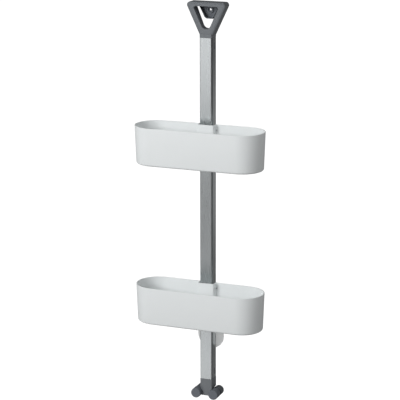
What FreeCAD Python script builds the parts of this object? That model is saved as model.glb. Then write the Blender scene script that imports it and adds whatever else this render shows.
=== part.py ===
import FreeCAD, Part
import math
import os
import re

import Sketcher

# Wall-hung shower caddy. Millimetres, +Z up, +Y into the wall, X to the right.
# Origin: centre of the wall hook's screw hole, on the wall's surface.

os.makedirs("parts", exist_ok=True)
doc = FreeCAD.newDocument("shower_caddy")

# ---------------------------------------------------------------- driving dimensions

SIZES = [
    # pole: a square extrusion, open along the middle of its rear face
    ("wall_gap", 5.0, "from the wall to the pole's rear face"),
    ("pole_width", 27.5, "across the pole"),
    ("pole_depth", 28.0, "front to back"),
    ("pole_length", 781.0, "cut length"),
    ("pole_wall", 1.8, "extrusion wall"),
    ("pole_corner", 1.5, "radius of the pole's long outer edges"),
    ("groove_inset", 3.5, "front face to the guide groove"),
    ("groove_width", 5.5, "guide groove in each side"),
    ("groove_depth", 2.0, "guide groove"),
    ("recess_front", 15.0, "front face to the shallow side recess"),
    ("recess_rear", 2.0, "rear face to the shallow side recess"),
    ("recess_depth", 0.5, "shallow side recess"),
    ("slot_width", 12.0, "opening along the rear face"),
    # snap catches
    ("catch_height", 13.0, "catch nose, up the pole"),
    ("catch_width", 6.0, "catch nose, front to back"),
    ("catch_clearance", 0.4, "round the nose in its window"),
    ("catch_from_top", 19.2, "pole's top end to the upper catches"),
    ("catch_from_bottom", 14.6, "pole's bottom end to the lower catches"),
    ("catch_from_rear", 7.0, "pole's rear face to the catches"),
    ("catch_flange", 1.8, "margin of the catch's flange round its nose"),
    ("catch_flange_thick", 2.5, "flange"),
    ("catch_shoulder", 1.9, "spigot wall that stops the flange"),
    ("spring_radius", 2.2, "catch spring, to the wire's centre"),
    ("spring_wire", 0.6, "wire diameter"),
    ("spring_turns", 6.0, "turns"),
    ("spring_play", 0.1, "between the spring's end and a flange"),
    # fits
    ("running_gap", 0.3, "between faces that slide"),
    ("spigot_gap", 0.2, "between a spigot and the inside of the pole"),
    ("spigot_length", 42.0, "end pieces, inside the pole"),
    # handle
    ("grip_roof", 2.4, "handle's top above its rear rebate"),
    ("grip_bar", 9.3, "handle's top bar, top to opening"),
    ("grip_rim", 14.5, "handle's side outside the rebate, along its top"),
    ("grip_neck", 14.9, "opening down to where the sides meet the collar"),
    ("grip_corner", 7.0, "upper corners"),
    ("grip_set_back", 1.5, "handle's face behind the pole's front face"),
    ("bevel_width", 4.0, "front bevel, across the face"),
    ("bevel_depth", 1.3, "front bevel, front to back"),
    ("collar_height", 8.3, "handle's collar on the pole"),
    ("collar_below", 4.4, "collar below the handle's sides"),
    ("finger_gap", 18.4, "below the hook, for lifting fingers"),
    ("opening_bottom_width", 14.8, "opening, before its corners are rounded"),
    ("opening_top_corner", 3.5, "upper corners of the opening"),
    ("opening_bottom_corner", 11.0, "lower corners of the opening"),
    ("rebate_margin", 4.0, "rebate beyond the opening"),
    ("rebate_front_gap", 1.1, "rebate to the hook, front to back"),
    ("rebate_side_gap", 7.6, "rebate to the hook's base plate, sideways"),
    ("rib_thick", 3.2, "hanging rib, front to back"),
    ("rib_width", 40.0, "hanging rib"),
    ("rib_play", 1.1, "hanging rib to the hook's lip"),
    ("inner_round", 1.0, "front edge of the opening"),
    # wall hook
    ("saddle_height", 12.3, "screw hole up to the surface that carries the handle"),
    ("lip_height", 3.7, "lip above the saddle"),
    ("lip_thick", 3.6, "lip, front to back"),
    ("lip_play", 0.7, "above the lip"),
    ("lip_width", 28.0, "lip"),
    ("hook_top_width", 49.6, "dish at the saddle"),
    ("hook_bottom_width", 17.2, "dish, before its lower corners are rounded"),
    ("hook_bottom", 18.8, "screw hole down to the dish's lowest point"),
    ("hook_corner", 9.0, "lower corners of the dish"),
    ("hook_wall", 2.0, "dish wall"),
    ("hook_base", 3.0, "base plate"),
    ("base_margin", 1.5, "base plate beyond the dish"),
    ("seat_radius", 7.5, "raised screw seat"),
    ("seat_height", 2.5, "screw seat above the base plate"),
    ("screw_head_radius", 4.6, "recess for the wall screw's head"),
    ("screw_head_depth", 2.0, "recess for the wall screw's head"),
    ("screw_hole_radius", 2.5, "wall screw's clearance hole"),
    # baskets
    ("basket_length", 300.0, "over the rim"),
    ("basket_depth", 100.0, "over the rim"),
    ("basket_height", 85.6, "rim to base"),
    ("basket_draft", 3.2, "how much smaller the base is, on every side"),
    ("basket_wall", 2.0, "wall and floor"),
    ("basket_round", 4.5, "edge of the base"),
    ("basket_embed", 14.8, "how far the pole's front stands inside the rear wall's line"),
    ("channel_gap", 3.5, "beside the pole, for the slide rail"),
    ("upper_basket_drop", 191.8, "pole's top end down to the upper basket's rim"),
    ("lower_basket_rise", 227.1, "pole's bottom end up to the lower basket's rim"),
    ("drain_length", 16.0, "drain slot"),
    ("drain_width", 4.0, "drain slot"),
    ("drain_pitch", 20.0, "between drain slots"),
    ("drain_count", 9.0, "drain slots in a row"),
    # slide rails
    ("rail_lift", 8.0, "basket's base to the rail's lower end"),
    ("rail_below_rim", 3.6, "basket's rim to the rail's upper end"),
    ("rail_front_gap", 0.2, "rail to the channel's front wall"),
    ("ear_width", 9.0, "screw ear beyond the channel"),
    ("ear_thick", 2.6, "screw ear"),
    ("boss_radius", 3.4, "screw boss inside the basket"),
    ("boss_length", 9.0, "screw boss, front to back"),
    ("rail_screw_radius", 1.4, "rail screw shank"),
    ("rail_screw_head", 2.8, "rail screw head radius"),
    ("rail_head_height", 1.8, "rail screw head"),
    ("rail_hole_gap", 0.2, "rail screw in its ear, and past its point"),
    ("rail_screw_length", 8.0, "rail screw shank length"),
    ("rail_screw_margin", 9.0, "rail end to the screw"),
    ("pad_length", 30.0, "friction pad"),
    ("pad_width", 3.6, "friction pad"),
    ("pad_thick", 1.4, "friction pad"),
    ("pad_set_back", 0.8, "groove to the friction pad"),
    # foot
    ("foot_collar", 20.8, "full-section collar below the pole, down to the scoops round the knobs"),
    ("foot_waist", 18.0, "foot between the knobs"),
    ("knob_side_gap", 0.6, "knob to its scoop in the foot"),
    ("knob_radius", 11.4, "front knob"),
    ("knob_length", 19.5, "front knob"),
    ("knob_proud", 11.5, "knob's face ahead of the pole's front face"),
    ("knob_round", 1.4, "edge of a knob's face"),
    ("arm_thick", 6.4, "arm between the front and rear knobs"),
    ("arm_radius", 7.0, "arm's rounded end"),
    ("arm_side_gap", 0.2, "knob to arm"),
    ("stub_radius", 5.0, "stub that a knob is pressed on"),
    ("stub_gap", 0.05, "knob's bore round its stub"),
    ("stub_length", 13.0, "front stub"),
    ("rear_stub_length", 10.0, "rear stub"),
    ("stub_end_gap", 0.3, "beyond a stub's end, in its bore"),
    ("bumper_step", 0.5, "rear bumper's radius below a knob's"),
    ("bumper_round", 3.0, "edge of the bumper's end"),
    ("bumper_wall_gap", 0.3, "bumper to wall"),
    # suction cup and its carrier
    ("cup_rise", 96.5, "pole's bottom end up to the cup's centre"),
    ("cup_radius", 31.4, "cup"),
    ("cup_height", 4.3, "wall to the cup's crown"),
    ("cup_edge", 0.8, "cup's edge"),
    ("cup_skin", 1.8, "cup at its middle"),
    ("neck_radius", 4.0, "cup's neck"),
    ("button_radius", 6.5, "cup's retaining button"),
    ("button_thick", 3.0, "cup's retaining button"),
    ("carrier_height", 30.0, "carrier inside the pole"),
    ("carrier_lip", 1.5, "carrier's rear wall, which holds the button"),
    ("button_gap", 0.3, "button in its slot, front to back"),
    ("button_side_gap", 0.2, "button and neck in their slots, sideways"),
]

dims = doc.addObject("Spreadsheet::Sheet", "Dims")
NAMES = set()
for row, (alias, size, note) in enumerate(SIZES, start=1):
    dims.set("A%d" % row, note)
    dims.set("B%d" % row, str(size))
    dims.setAlias("B%d" % row, alias)
    NAMES.add(alias)
doc.recompute()

# Places that several pieces share, as expressions of the sizes above.
POLE_FRONT = "(-wall_gap - pole_depth)"
POLE_REAR = "(-wall_gap)"
HOOK_REACH = "(wall_gap + rib_thick + rib_play + lip_thick)"
GRIP_TOP = "(saddle_height + lip_height + lip_play + grip_roof)"
OPENING_TOP = "(saddle_height + lip_height + lip_play + grip_roof - grip_bar)"
OPENING_BOTTOM = "(-hook_bottom - base_margin - finger_gap)"
REBATE_HALF = "(hook_top_width / 2 + base_margin + rebate_side_gap)"
GRIP_SHOULDER = "(-hook_bottom - base_margin - finger_gap - grip_neck)"
POLE_TOP = "(-hook_bottom - base_margin - finger_gap - grip_neck - collar_below)"
POLE_BOTTOM = "(-hook_bottom - base_margin - finger_gap - grip_neck - collar_below - pole_length)"
UPPER_RIM = "(%s - upper_basket_drop)" % POLE_TOP
LOWER_RIM = "(%s + lower_basket_rise)" % POLE_BOTTOM
BORE_FRONT = "(-wall_gap - pole_depth + pole_wall)"
BORE_REAR = "(-wall_gap - pole_wall)"
BORE_HALF = "(pole_width / 2 - pole_wall)"
NECK_HALF = "(pole_width / 2 - pole_wall - groove_depth)"
NECK_REAR = "(-wall_gap - pole_depth + groove_inset + groove_width + pole_wall)"
CATCH_Y = "(-wall_gap - catch_from_rear)"
UPPER_CATCH_Z = "(%s - catch_from_top)" % POLE_TOP
LOWER_CATCH_Z = "(%s + catch_from_bottom)" % POLE_BOTTOM
CATCH_NOSE_X = "(pole_width / 2 - recess_depth)"
CATCH_SHOULDER_X = "(pole_width / 2 - pole_wall - recess_depth - catch_shoulder)"
FLANGE_INNER_X = "(%s - running_gap - catch_flange_thick)" % CATCH_SHOULDER_X
RING_FRONT = "(-wall_gap - pole_depth + grip_set_back)"
REAR_LINE = "(-wall_gap - pole_depth + basket_embed)"
CHANNEL_FRONT = "(-wall_gap - pole_depth - running_gap)"
CHANNEL_HALF = "(pole_width / 2 + channel_gap)"
RAIL_HEIGHT = "(basket_height - rail_lift - rail_below_rim)"
RAIL_INNER = "(pole_width / 2 + running_gap)"
RAIL_SCREW_X = "(pole_width / 2 + channel_gap + ear_width / 2)"
PAD_FRONT = "(-wall_gap - pole_depth + groove_inset + groove_width + pad_set_back)"
PAD_LOW = "(rail_lift + (%s - pad_length) / 2)" % RAIL_HEIGHT
KNOB_X = "(foot_waist / 2 + knob_side_gap + knob_radius)"
KNOB_Z = "(%s - foot_collar - knob_side_gap - knob_radius)" % POLE_BOTTOM
KNOB_FACE = "(-wall_gap - pole_depth - knob_proud)"
ARM_FRONT = "(-wall_gap - pole_depth - knob_proud + knob_length + arm_side_gap)"
ARM_REAR = "(-wall_gap - pole_depth - knob_proud + knob_length + arm_side_gap + arm_thick)"
CUP_Z = "(%s + cup_rise)" % POLE_BOTTOM
BUTTON_REAR = "(-wall_gap - pole_wall - running_gap - carrier_lip - button_gap)"

made = []


# ---------------------------------------------------------------- small tools

def bind(text):
    """An expression with every size's name pointing at its cell."""
    return re.sub(r"[a-z_]+", lambda m: "Dims." + m.group(0) if m.group(0) in NAMES else m.group(0), str(text))


def value(text):
    """The present value of an expression."""
    return float(dims.evalExpression(bind(text)))


def keep(piece, label):
    """Names a finished sub-part, so that it is checked and written."""
    piece.Label = label
    made.append(piece)
    return piece


def new_body(label):
    return keep(doc.addObject("PartDesign::Body", label), label)


def origin_plane(body, role):
    return next(f for f in body.Origin.OriginFeatures if f.Role == role)


def new_sketch(body, role, offset):
    """A sketch on one of the body's own planes, moved along its normal by an expression."""
    sketch = body.newObject("Sketcher::SketchObject", "Sketch")
    sketch.AttachmentSupport = [(origin_plane(body, role), "")]
    sketch.MapMode = "FlatFace"
    sketch.setExpression("AttachmentOffset.Base.z", bind(offset))
    doc.recompute()
    return sketch


def hold(sketch, kind, geo, point, text):
    """Fixes one coordinate of a point at an expression of the sizes."""
    number = value(text)
    axis = -2 if kind == "DistanceX" else -1
    if abs(number) < 1e-9:
        sketch.addConstraint(Sketcher.Constraint("PointOnObject", geo, point, axis))
        return
    if number > 0:
        index = sketch.addConstraint(Sketcher.Constraint(kind, -1, 1, geo, point, number))
        sketch.setExpression("Constraints[%d]" % index, bind(text))
    else:
        index = sketch.addConstraint(Sketcher.Constraint(kind, geo, point, -1, 1, -number))
        sketch.setExpression("Constraints[%d]" % index, "-(%s)" % bind(text))


def polygon(body, role, offset, corners):
    """A closed outline of straight lines; each corner is a pair of expressions."""
    sketch = new_sketch(body, role, offset)
    points = [FreeCAD.Vector(value(x), value(y), 0) for x, y in corners]
    count = len(points)
    for i in range(count):
        sketch.addGeometry(Part.LineSegment(points[i], points[(i + 1) % count]), False)
    for i in range(count):
        sketch.addConstraint(Sketcher.Constraint("Coincident", i, 2, (i + 1) % count, 1))
    for i, (x, y) in enumerate(corners):
        hold(sketch, "DistanceX", i, 1, x)
        hold(sketch, "DistanceY", i, 1, y)
    doc.recompute()
    return sketch


def rectangle(body, role, offset, low_x, high_x, low_y, high_y):
    return polygon(body, role, offset, [(low_x, low_y), (high_x, low_y), (high_x, high_y), (low_x, high_y)])


def circle(body, role, offset, x, y, radius):
    sketch = new_sketch(body, role, offset)
    centre = FreeCAD.Vector(value(x), value(y), 0)
    sketch.addGeometry(Part.Circle(centre, FreeCAD.Vector(0, 0, 1), value(radius)), False)
    hold(sketch, "DistanceX", 0, 3, x)
    hold(sketch, "DistanceY", 0, 3, y)
    index = sketch.addConstraint(Sketcher.Constraint("Radius", 0, value(radius)))
    sketch.setExpression("Constraints[%d]" % index, bind(radius))
    doc.recompute()
    return sketch


def stadium(body, role, offset, span, radius, x, y):
    """Two half circles, span apart between their centres, joined by lines along X."""
    sketch = new_sketch(body, role, offset)
    half, r = value(span) / 2, value(radius)
    cx, cy = value(x), value(y)
    quarter = math.pi / 2
    up = FreeCAD.Vector(0, 0, 1)
    left = Part.Circle(FreeCAD.Vector(cx - half, cy, 0), up, r)
    right = Part.Circle(FreeCAD.Vector(cx + half, cy, 0), up, r)
    sketch.addGeometry(Part.ArcOfCircle(left, quarter, 3 * quarter), False)
    sketch.addGeometry(Part.LineSegment(FreeCAD.Vector(cx - half, cy - r, 0), FreeCAD.Vector(cx + half, cy - r, 0)))
    sketch.addGeometry(Part.ArcOfCircle(right, -quarter, quarter), False)
    sketch.addGeometry(Part.LineSegment(FreeCAD.Vector(cx + half, cy + r, 0), FreeCAD.Vector(cx - half, cy + r, 0)))
    sketch.addConstraint(Sketcher.Constraint("Tangent", 0, 2, 1, 1))
    sketch.addConstraint(Sketcher.Constraint("Tangent", 1, 2, 2, 1))
    sketch.addConstraint(Sketcher.Constraint("Tangent", 2, 2, 3, 1))
    sketch.addConstraint(Sketcher.Constraint("Tangent", 3, 2, 0, 1))
    sketch.addConstraint(Sketcher.Constraint("Horizontal", 1))
    index = sketch.addConstraint(Sketcher.Constraint("Radius", 0, r))
    sketch.setExpression("Constraints[%d]" % index, bind(radius))
    hold(sketch, "DistanceX", 0, 3, "(%s) - (%s) / 2" % (x, span))
    hold(sketch, "DistanceX", 2, 3, "(%s) + (%s) / 2" % (x, span))
    hold(sketch, "DistanceY", 0, 3, y)
    doc.recompute()
    return sketch


def pad(body, sketch, length, back=False, taper="0"):
    """Adds material from the sketch; back sends it against the sketch's normal."""
    feature = body.newObject("PartDesign::Pad", "Pad")
    feature.Profile = sketch
    feature.setExpression("Length", bind(length))
    feature.Reversed = back
    feature.setExpression("TaperAngle", bind(taper))
    doc.recompute()
    return feature


def pocket(body, sketch, length, back=False, both=False, taper="0"):
    """Cuts from the sketch, or to both its sides; it must take something away."""
    before = body.Shape.Volume
    feature = body.newObject("PartDesign::Pocket", "Pocket")
    feature.Profile = sketch
    feature.setExpression("Length", bind(length))
    feature.Reversed = back
    feature.Midplane = both
    feature.setExpression("TaperAngle", bind(taper))
    doc.recompute()
    if body.Shape.Volume > before - 1e-3:
        raise RuntimeError("a pocket of %s cuts nothing" % body.Label)
    return feature


def revolve(body, sketch):
    """Turns the sketch round its own vertical axis."""
    feature = body.newObject("PartDesign::Revolution", "Revolution")
    feature.Profile = sketch
    feature.ReferenceAxis = (sketch, ["V_Axis"])
    feature.Angle = 360
    doc.recompute()
    return feature


def edges(feature, chosen):
    """Names of the feature's edges whose two ends and middle satisfy the test."""
    names = []
    for number, edge in enumerate(feature.Shape.Edges, start=1):
        middle = edge.valueAt((edge.FirstParameter + edge.LastParameter) / 2)
        spots = [vertex.Point for vertex in edge.Vertexes] + [middle]
        if all(chosen(spot) for spot in spots):
            names.append("Edge%d" % number)
    if not names:
        raise RuntimeError("no edges found on %s" % feature.Label)
    return names


def near(number, text):
    return abs(number - value(text)) < 1e-3


def depth_edges(feature, height):
    """Names of the feature's edges that run front to back at one height."""
    level = edges(feature, lambda p: near(p.z, height))
    return [name for name in level if feature.Shape.getElement(name).BoundBox.YLength > 1]


def dress(body, kind, base, names, size):
    """A fillet or chamfer of the given size on named edges of the last feature."""
    feature = body.newObject("PartDesign::" + kind, kind)
    feature.Base = (base, names)
    feature.setExpression("Radius" if kind == "Fillet" else "Size", bind(size))
    doc.recompute()
    return feature


def box(label, low, high):
    """A block between two corners, each three expressions."""
    block = doc.addObject("Part::Box", label)
    for prop, a, b, axis in zip(("Length", "Width", "Height"), low, high, "xyz"):
        block.setExpression(prop, bind("(%s) - (%s)" % (b, a)))
        block.setExpression("Placement.Base." + axis, bind(a))
    return block


def cylinder(label, radius, height, place, direction):
    """A round bar that starts at place and runs along direction."""
    bar = doc.addObject("Part::Cylinder", label)
    bar.setExpression("Radius", bind(radius))
    bar.setExpression("Height", bind(height))
    bar.Placement.Rotation = FreeCAD.Rotation(FreeCAD.Vector(0, 0, 1), FreeCAD.Vector(*direction))
    for axis, text in zip("xyz", place):
        bar.setExpression("Placement.Base." + axis, bind(text))
    return bar


def join(label, pieces):
    whole = doc.addObject("Part::MultiFuse", label)
    whole.Shapes = pieces
    whole.Refine = True
    return whole


def group(label, pieces):
    """Separate like pieces under one name."""
    bundle = doc.addObject("Part::Compound", label)
    bundle.Links = pieces
    return bundle


# ---------------------------------------------------------------- wall hook

def dish_outline(margin):
    """The hook's triangle, grown sideways and downwards by margin."""
    return [
        ("-hook_top_width / 2 - %s" % margin, "saddle_height"),
        ("hook_top_width / 2 + %s" % margin, "saddle_height"),
        ("hook_bottom_width / 2 + %s" % margin, "-hook_bottom - %s" % margin),
        ("-hook_bottom_width / 2 - %s" % margin, "-hook_bottom - %s" % margin),
    ]


def make_wall_hook():
    """A dish against the wall; the handle's rib rests on its saddle, behind the lip."""
    body = new_body("wall_hook")
    base = pad(body, polygon(body, "XZ_Plane", "0", dish_outline("base_margin")), "hook_base")
    dress(body, "Fillet", base, depth_edges(base, "-hook_bottom - base_margin"), "hook_corner + base_margin")
    dish = pad(body, polygon(body, "XZ_Plane", "hook_base", dish_outline("0")), HOOK_REACH + " - hook_base")
    dress(body, "Fillet", dish, depth_edges(dish, "-hook_bottom"), "hook_corner")
    inner = [
        ("-hook_top_width / 2 + hook_wall * 1.3", "saddle_height - hook_wall"),
        ("hook_top_width / 2 - hook_wall * 1.3", "saddle_height - hook_wall"),
        ("hook_bottom_width / 2 - hook_wall * 0.6", "-hook_bottom + hook_wall"),
        ("-hook_bottom_width / 2 + hook_wall * 0.6", "-hook_bottom + hook_wall"),
    ]
    hollow = pocket(body, polygon(body, "XZ_Plane", HOOK_REACH, inner), HOOK_REACH + " - hook_base")
    dress(body, "Fillet", hollow, depth_edges(hollow, "-hook_bottom + hook_wall"), "hook_corner - hook_wall")
    lip = rectangle(body, "XZ_Plane", HOOK_REACH + " - lip_thick", "-lip_width / 2", "lip_width / 2",
                    "saddle_height - hook_wall", "saddle_height + lip_height")
    pad(body, lip, "lip_thick")
    pad(body, circle(body, "XZ_Plane", "hook_base", "0", "0", "seat_radius"), "seat_height")
    face = "hook_base + seat_height"
    pocket(body, circle(body, "XZ_Plane", face, "0", "0", "screw_head_radius"), "screw_head_depth")
    pocket(body, circle(body, "XZ_Plane", face, "0", "0", "screw_hole_radius"), face)


# ---------------------------------------------------------------- pole

def make_pole():
    """The extrusion, its side windows for the catches cut near each end."""
    body = new_body("pole")
    half = "pole_width / 2"
    groove = "pole_width / 2 - groove_depth"
    recess = "pole_width / 2 - recess_depth"
    groove_front = POLE_FRONT + " + groove_inset"
    groove_rear = POLE_FRONT + " + groove_inset + groove_width"
    right = [
        (half, POLE_FRONT), (half, groove_front), (groove, groove_front), (groove, groove_rear),
        (half, groove_rear), (half, POLE_FRONT + " + recess_front"), (recess, POLE_FRONT + " + recess_front"),
        (recess, POLE_REAR + " - recess_rear"), (half, POLE_REAR + " - recess_rear"), (half, POLE_REAR),
        ("slot_width / 2", POLE_REAR), ("slot_width / 2", BORE_REAR), (BORE_HALF, BORE_REAR),
        (BORE_HALF, NECK_REAR), (NECK_HALF, NECK_REAR), (NECK_HALF, BORE_FRONT),
    ]
    left = [("-(%s)" % x, y) for x, y in reversed(right)]
    section = polygon(body, "XY_Plane", POLE_BOTTOM, right + left)
    bar = pad(body, section, "pole_length")
    long_edges = edges(bar, lambda p: near(abs(p.x), half) and (near(p.y, POLE_FRONT) or near(p.y, POLE_REAR)))
    long_edges = [n for n in long_edges if bar.Shape.getElement(n).Length > value("pole_length") - 1e-3]
    dress(body, "Fillet", bar, long_edges, "pole_corner")
    for height in (UPPER_CATCH_Z, LOWER_CATCH_Z):
        window = rectangle(body, "YZ_Plane", "0",
                           CATCH_Y + " - catch_width / 2 - catch_clearance",
                           CATCH_Y + " + catch_width / 2 + catch_clearance",
                           height + " - catch_height / 2 - catch_clearance",
                           height + " + catch_height / 2 + catch_clearance")
        pocket(body, window, "pole_width + 2", both=True)


# ---------------------------------------------------------------- handle and foot

def add_spigot(body, end, upwards):
    """The plug inside the pole, with a tunnel across it for the catches and their spring."""
    half = "(%s - spigot_gap)" % BORE_HALF
    narrow = "(%s - spigot_gap)" % NECK_HALF
    front = "(%s + spigot_gap)" % BORE_FRONT
    step = "(%s + spigot_gap)" % NECK_REAR
    rear = "(%s - spigot_gap)" % BORE_REAR
    corners = [
        ("-" + narrow, front), (narrow, front), (narrow, step), (half, step),
        (half, rear), ("-" + half, rear), ("-" + half, step), ("-" + narrow, step),
    ]
    pad(body, polygon(body, "XY_Plane", end, corners), "spigot_length", back=not upwards)


def add_catch_tunnel(body, height):
    """A through window for the noses, and a wider chamber for the flanges behind a shoulder."""
    for reach, margin in (("pole_width + 2", "catch_clearance"),
                          ("2 * " + CATCH_SHOULDER_X, "catch_flange + catch_clearance")):
        tall = "(catch_height / 2 + %s)" % margin
        window = rectangle(body, "YZ_Plane", "0",
                           CATCH_Y + " - catch_width / 2 - catch_clearance",
                           CATCH_Y + " + catch_width / 2 + catch_clearance",
                           "%s - %s" % (height, tall), "%s + %s" % (height, tall))
        pocket(body, window, reach, both=True)


def make_head_handle():
    """A triangular grip with a collar and spigot; a rib in its rear rebate hangs on the hook."""
    body = new_body("head_handle")
    half_top = "(%s + grip_rim)" % REBATE_HALF
    outline = [
        ("-" + half_top, GRIP_TOP), (half_top, GRIP_TOP), ("pole_width / 2", GRIP_SHOULDER),
        ("pole_width / 2", POLE_TOP), ("-pole_width / 2", POLE_TOP), ("-pole_width / 2", GRIP_SHOULDER),
    ]
    ring = pad(body, polygon(body, "XZ_Plane", "wall_gap", outline), "pole_depth - grip_set_back")
    rounded = dress(body, "Fillet", ring, depth_edges(ring, GRIP_TOP), "grip_corner")
    front = edges(rounded, lambda p: near(p.y, RING_FRONT) and p.z > value(GRIP_SHOULDER) - 1e-3)
    bevel = dress(body, "Chamfer", rounded, front, "bevel_depth")
    bevel.ChamferType = "Two distances"
    bevel.setExpression("Size2", bind("bevel_width"))
    doc.recompute()

    half_opening = "(%s - rebate_margin)" % REBATE_HALF
    opening = [
        ("-" + half_opening, OPENING_TOP), (half_opening, OPENING_TOP),
        ("opening_bottom_width / 2", OPENING_BOTTOM), ("-opening_bottom_width / 2", OPENING_BOTTOM),
    ]
    hole = pocket(body, polygon(body, "XZ_Plane", "wall_gap", opening), "pole_depth", back=True)
    hole = dress(body, "Fillet", hole, depth_edges(hole, OPENING_TOP), "opening_top_corner")
    hole = dress(body, "Fillet", hole, depth_edges(hole, OPENING_BOTTOM), "opening_bottom_corner")
    inner = edges(hole, lambda p: near(p.y, RING_FRONT) and abs(p.x) < value(half_opening) + 0.1
                  and value(OPENING_BOTTOM) - 0.1 < p.z < value(OPENING_TOP) + 0.1)
    dress(body, "Fillet", hole, inner, "inner_round")

    ceiling = GRIP_TOP + " - grip_roof"
    low = OPENING_BOTTOM + " - rebate_margin / 2"
    rebate = [
        ("-" + REBATE_HALF, ceiling), (REBATE_HALF, ceiling),
        ("opening_bottom_width / 2 + rebate_margin", low), ("-opening_bottom_width / 2 - rebate_margin", low),
    ]
    pocket(body, polygon(body, "XZ_Plane", "wall_gap", rebate),
           HOOK_REACH + " + rebate_front_gap - wall_gap", back=True)
    rib = rectangle(body, "XZ_Plane", "wall_gap", "-rib_width / 2", "rib_width / 2",
                    "saddle_height + running_gap", GRIP_TOP + " - grip_roof / 2")
    pad(body, rib, "rib_thick")
    collar = rectangle(body, "XY_Plane", POLE_TOP, "-pole_width / 2", "pole_width / 2", POLE_FRONT, POLE_REAR)
    pad(body, collar, "collar_height")
    add_spigot(body, POLE_TOP, upwards=False)
    add_catch_tunnel(body, UPPER_CATCH_Z)


def make_foot_hub():
    """A collar and spigot above, a scoop round each knob, and an arm and stubs for the knobs."""
    body = new_body("foot_hub")
    block = rectangle(body, "XZ_Plane", "wall_gap", "-pole_width / 2", "pole_width / 2",
                      KNOB_Z + " - arm_radius", POLE_BOTTOM)
    pad(body, block, "pole_depth")
    for side in ("-" + KNOB_X, KNOB_X):
        scoop = circle(body, "XZ_Plane", "wall_gap", side, KNOB_Z, "knob_radius + knob_side_gap")
        pocket(body, scoop, "pole_depth", back=True)
    arm = rectangle(body, "XZ_Plane", "-(%s)" % ARM_REAR, "-" + KNOB_X, KNOB_X,
                    KNOB_Z + " - arm_radius", KNOB_Z + " + arm_radius")
    pad(body, arm, "arm_thick")
    for side in ("-" + KNOB_X, KNOB_X):
        pad(body, circle(body, "XZ_Plane", "-(%s)" % ARM_REAR, side, KNOB_Z, "arm_radius"), "arm_thick")
        pad(body, circle(body, "XZ_Plane", "-(%s)" % ARM_FRONT, side, KNOB_Z, "stub_radius"), "stub_length")
        pad(body, circle(body, "XZ_Plane", "-(%s)" % ARM_REAR, side, KNOB_Z, "stub_radius"),
            "rear_stub_length", back=True)
    add_spigot(body, POLE_BOTTOM, upwards=True)
    add_catch_tunnel(body, LOWER_CATCH_Z)


# ---------------------------------------------------------------- catches and springs

def make_catch(label, side, height):
    """A nose in the pole's window, with a flange that stops it behind the spigot's shoulder."""
    shoulder = "(%s - running_gap)" % CATCH_SHOULDER_X
    blocks = []
    for name, stop, margin in (("nose", CATCH_NOSE_X, "0"), ("flange", shoulder, "catch_flange")):
        start = FLANGE_INNER_X
        if side < 0:
            start, stop = "-" + stop, "-" + start
        blocks.append(box("%s_%s" % (label, name),
                          (start, CATCH_Y + " - catch_width / 2", "%s - catch_height / 2 - %s" % (height, margin)),
                          (stop, CATCH_Y + " + catch_width / 2", "%s + catch_height / 2 + %s" % (height, margin))))
    keep(join(label, blocks), label)


def make_catch_spring(label, height):
    """A compression spring between the two catches' flanges."""
    length = "(2 * %s - spring_wire - 2 * spring_play)" % FLANGE_INNER_X
    coil = doc.addObject("Part::Helix", label + "_line")
    coil.setExpression("Radius", bind("spring_radius"))
    coil.setExpression("Height", bind(length))
    coil.setExpression("Pitch", bind(length + " / spring_turns"))
    coil.Placement.Rotation = FreeCAD.Rotation(FreeCAD.Vector(0, 0, 1), FreeCAD.Vector(1, 0, 0))
    ring = doc.addObject("Part::Circle", label + "_wire")
    ring.setExpression("Radius", bind("spring_wire / 2"))
    start_x = "-%s / 2" % length
    for axis, text in zip("xyz", (start_x, CATCH_Y, height)):
        coil.setExpression("Placement.Base." + axis, bind(text))
    doc.recompute()
    turn = coil.Placement.Rotation
    ring.Placement.Rotation = turn.multiply(FreeCAD.Rotation(FreeCAD.Vector(1, 0, 0), 90))
    reach = turn.multVec(FreeCAD.Vector(1, 0, 0))
    for axis, text, part in zip("xyz", (start_x, CATCH_Y, height), reach):
        ring.setExpression("Placement.Base." + axis, bind("%s + spring_radius * %d" % (text, round(part))))
    sweep = doc.addObject("Part::Sweep", label)
    sweep.Sections = [ring]
    sweep.Spine = (coil, ["Edge1"])
    sweep.Solid = True
    sweep.Frenet = True
    doc.recompute()
    keep(sweep, label)


# ---------------------------------------------------------------- knobs

def turned(label, profile, x, y, z):
    """A turned piece: radius and distance along +Y, placed with its start at x, y, z."""
    body = new_body(label)
    revolve(body, polygon(body, "XY_Plane", "0", profile))
    for axis, text in zip("xyz", (x, y, z)):
        body.setExpression("Placement.Base." + axis, bind(text))
    return body


def make_knobs():
    """Four knobs pressed on the foot's stubs: plain in front, rubber bumpers behind."""
    bore = "stub_radius + stub_gap"
    deep = "(stub_length + stub_end_gap - arm_side_gap)"
    rear_deep = "(rear_stub_length + stub_end_gap - arm_side_gap)"
    bumper = "(knob_radius - bumper_step)"
    front = [
        ("0", "0"), ("knob_radius - knob_round", "0"), ("knob_radius", "knob_round"),
        ("knob_radius", "knob_length - knob_round / 2"), ("knob_radius - knob_round / 2", "knob_length"),
        (bore, "knob_length"), (bore, "knob_length - " + deep), ("0", "knob_length - " + deep),
    ]
    length = "(-%s - arm_side_gap - bumper_wall_gap)" % ARM_REAR
    rear = [
        ("0", rear_deep), (bore, rear_deep), (bore, "0"),
        (bumper + " - knob_round / 2", "0"), (bumper, "knob_round / 2"),
        (bumper, length + " - bumper_round"), (bumper + " - bumper_round", length), ("0", length),
    ]
    for side, sign in (("left", "-"), ("right", "")):
        turned("front_%s_knob" % side, front, sign + KNOB_X, KNOB_FACE, KNOB_Z)
        turned("rear_%s_bumper" % side, rear, sign + KNOB_X, ARM_REAR + " + arm_side_gap", KNOB_Z)


# ---------------------------------------------------------------- suction cup

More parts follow.
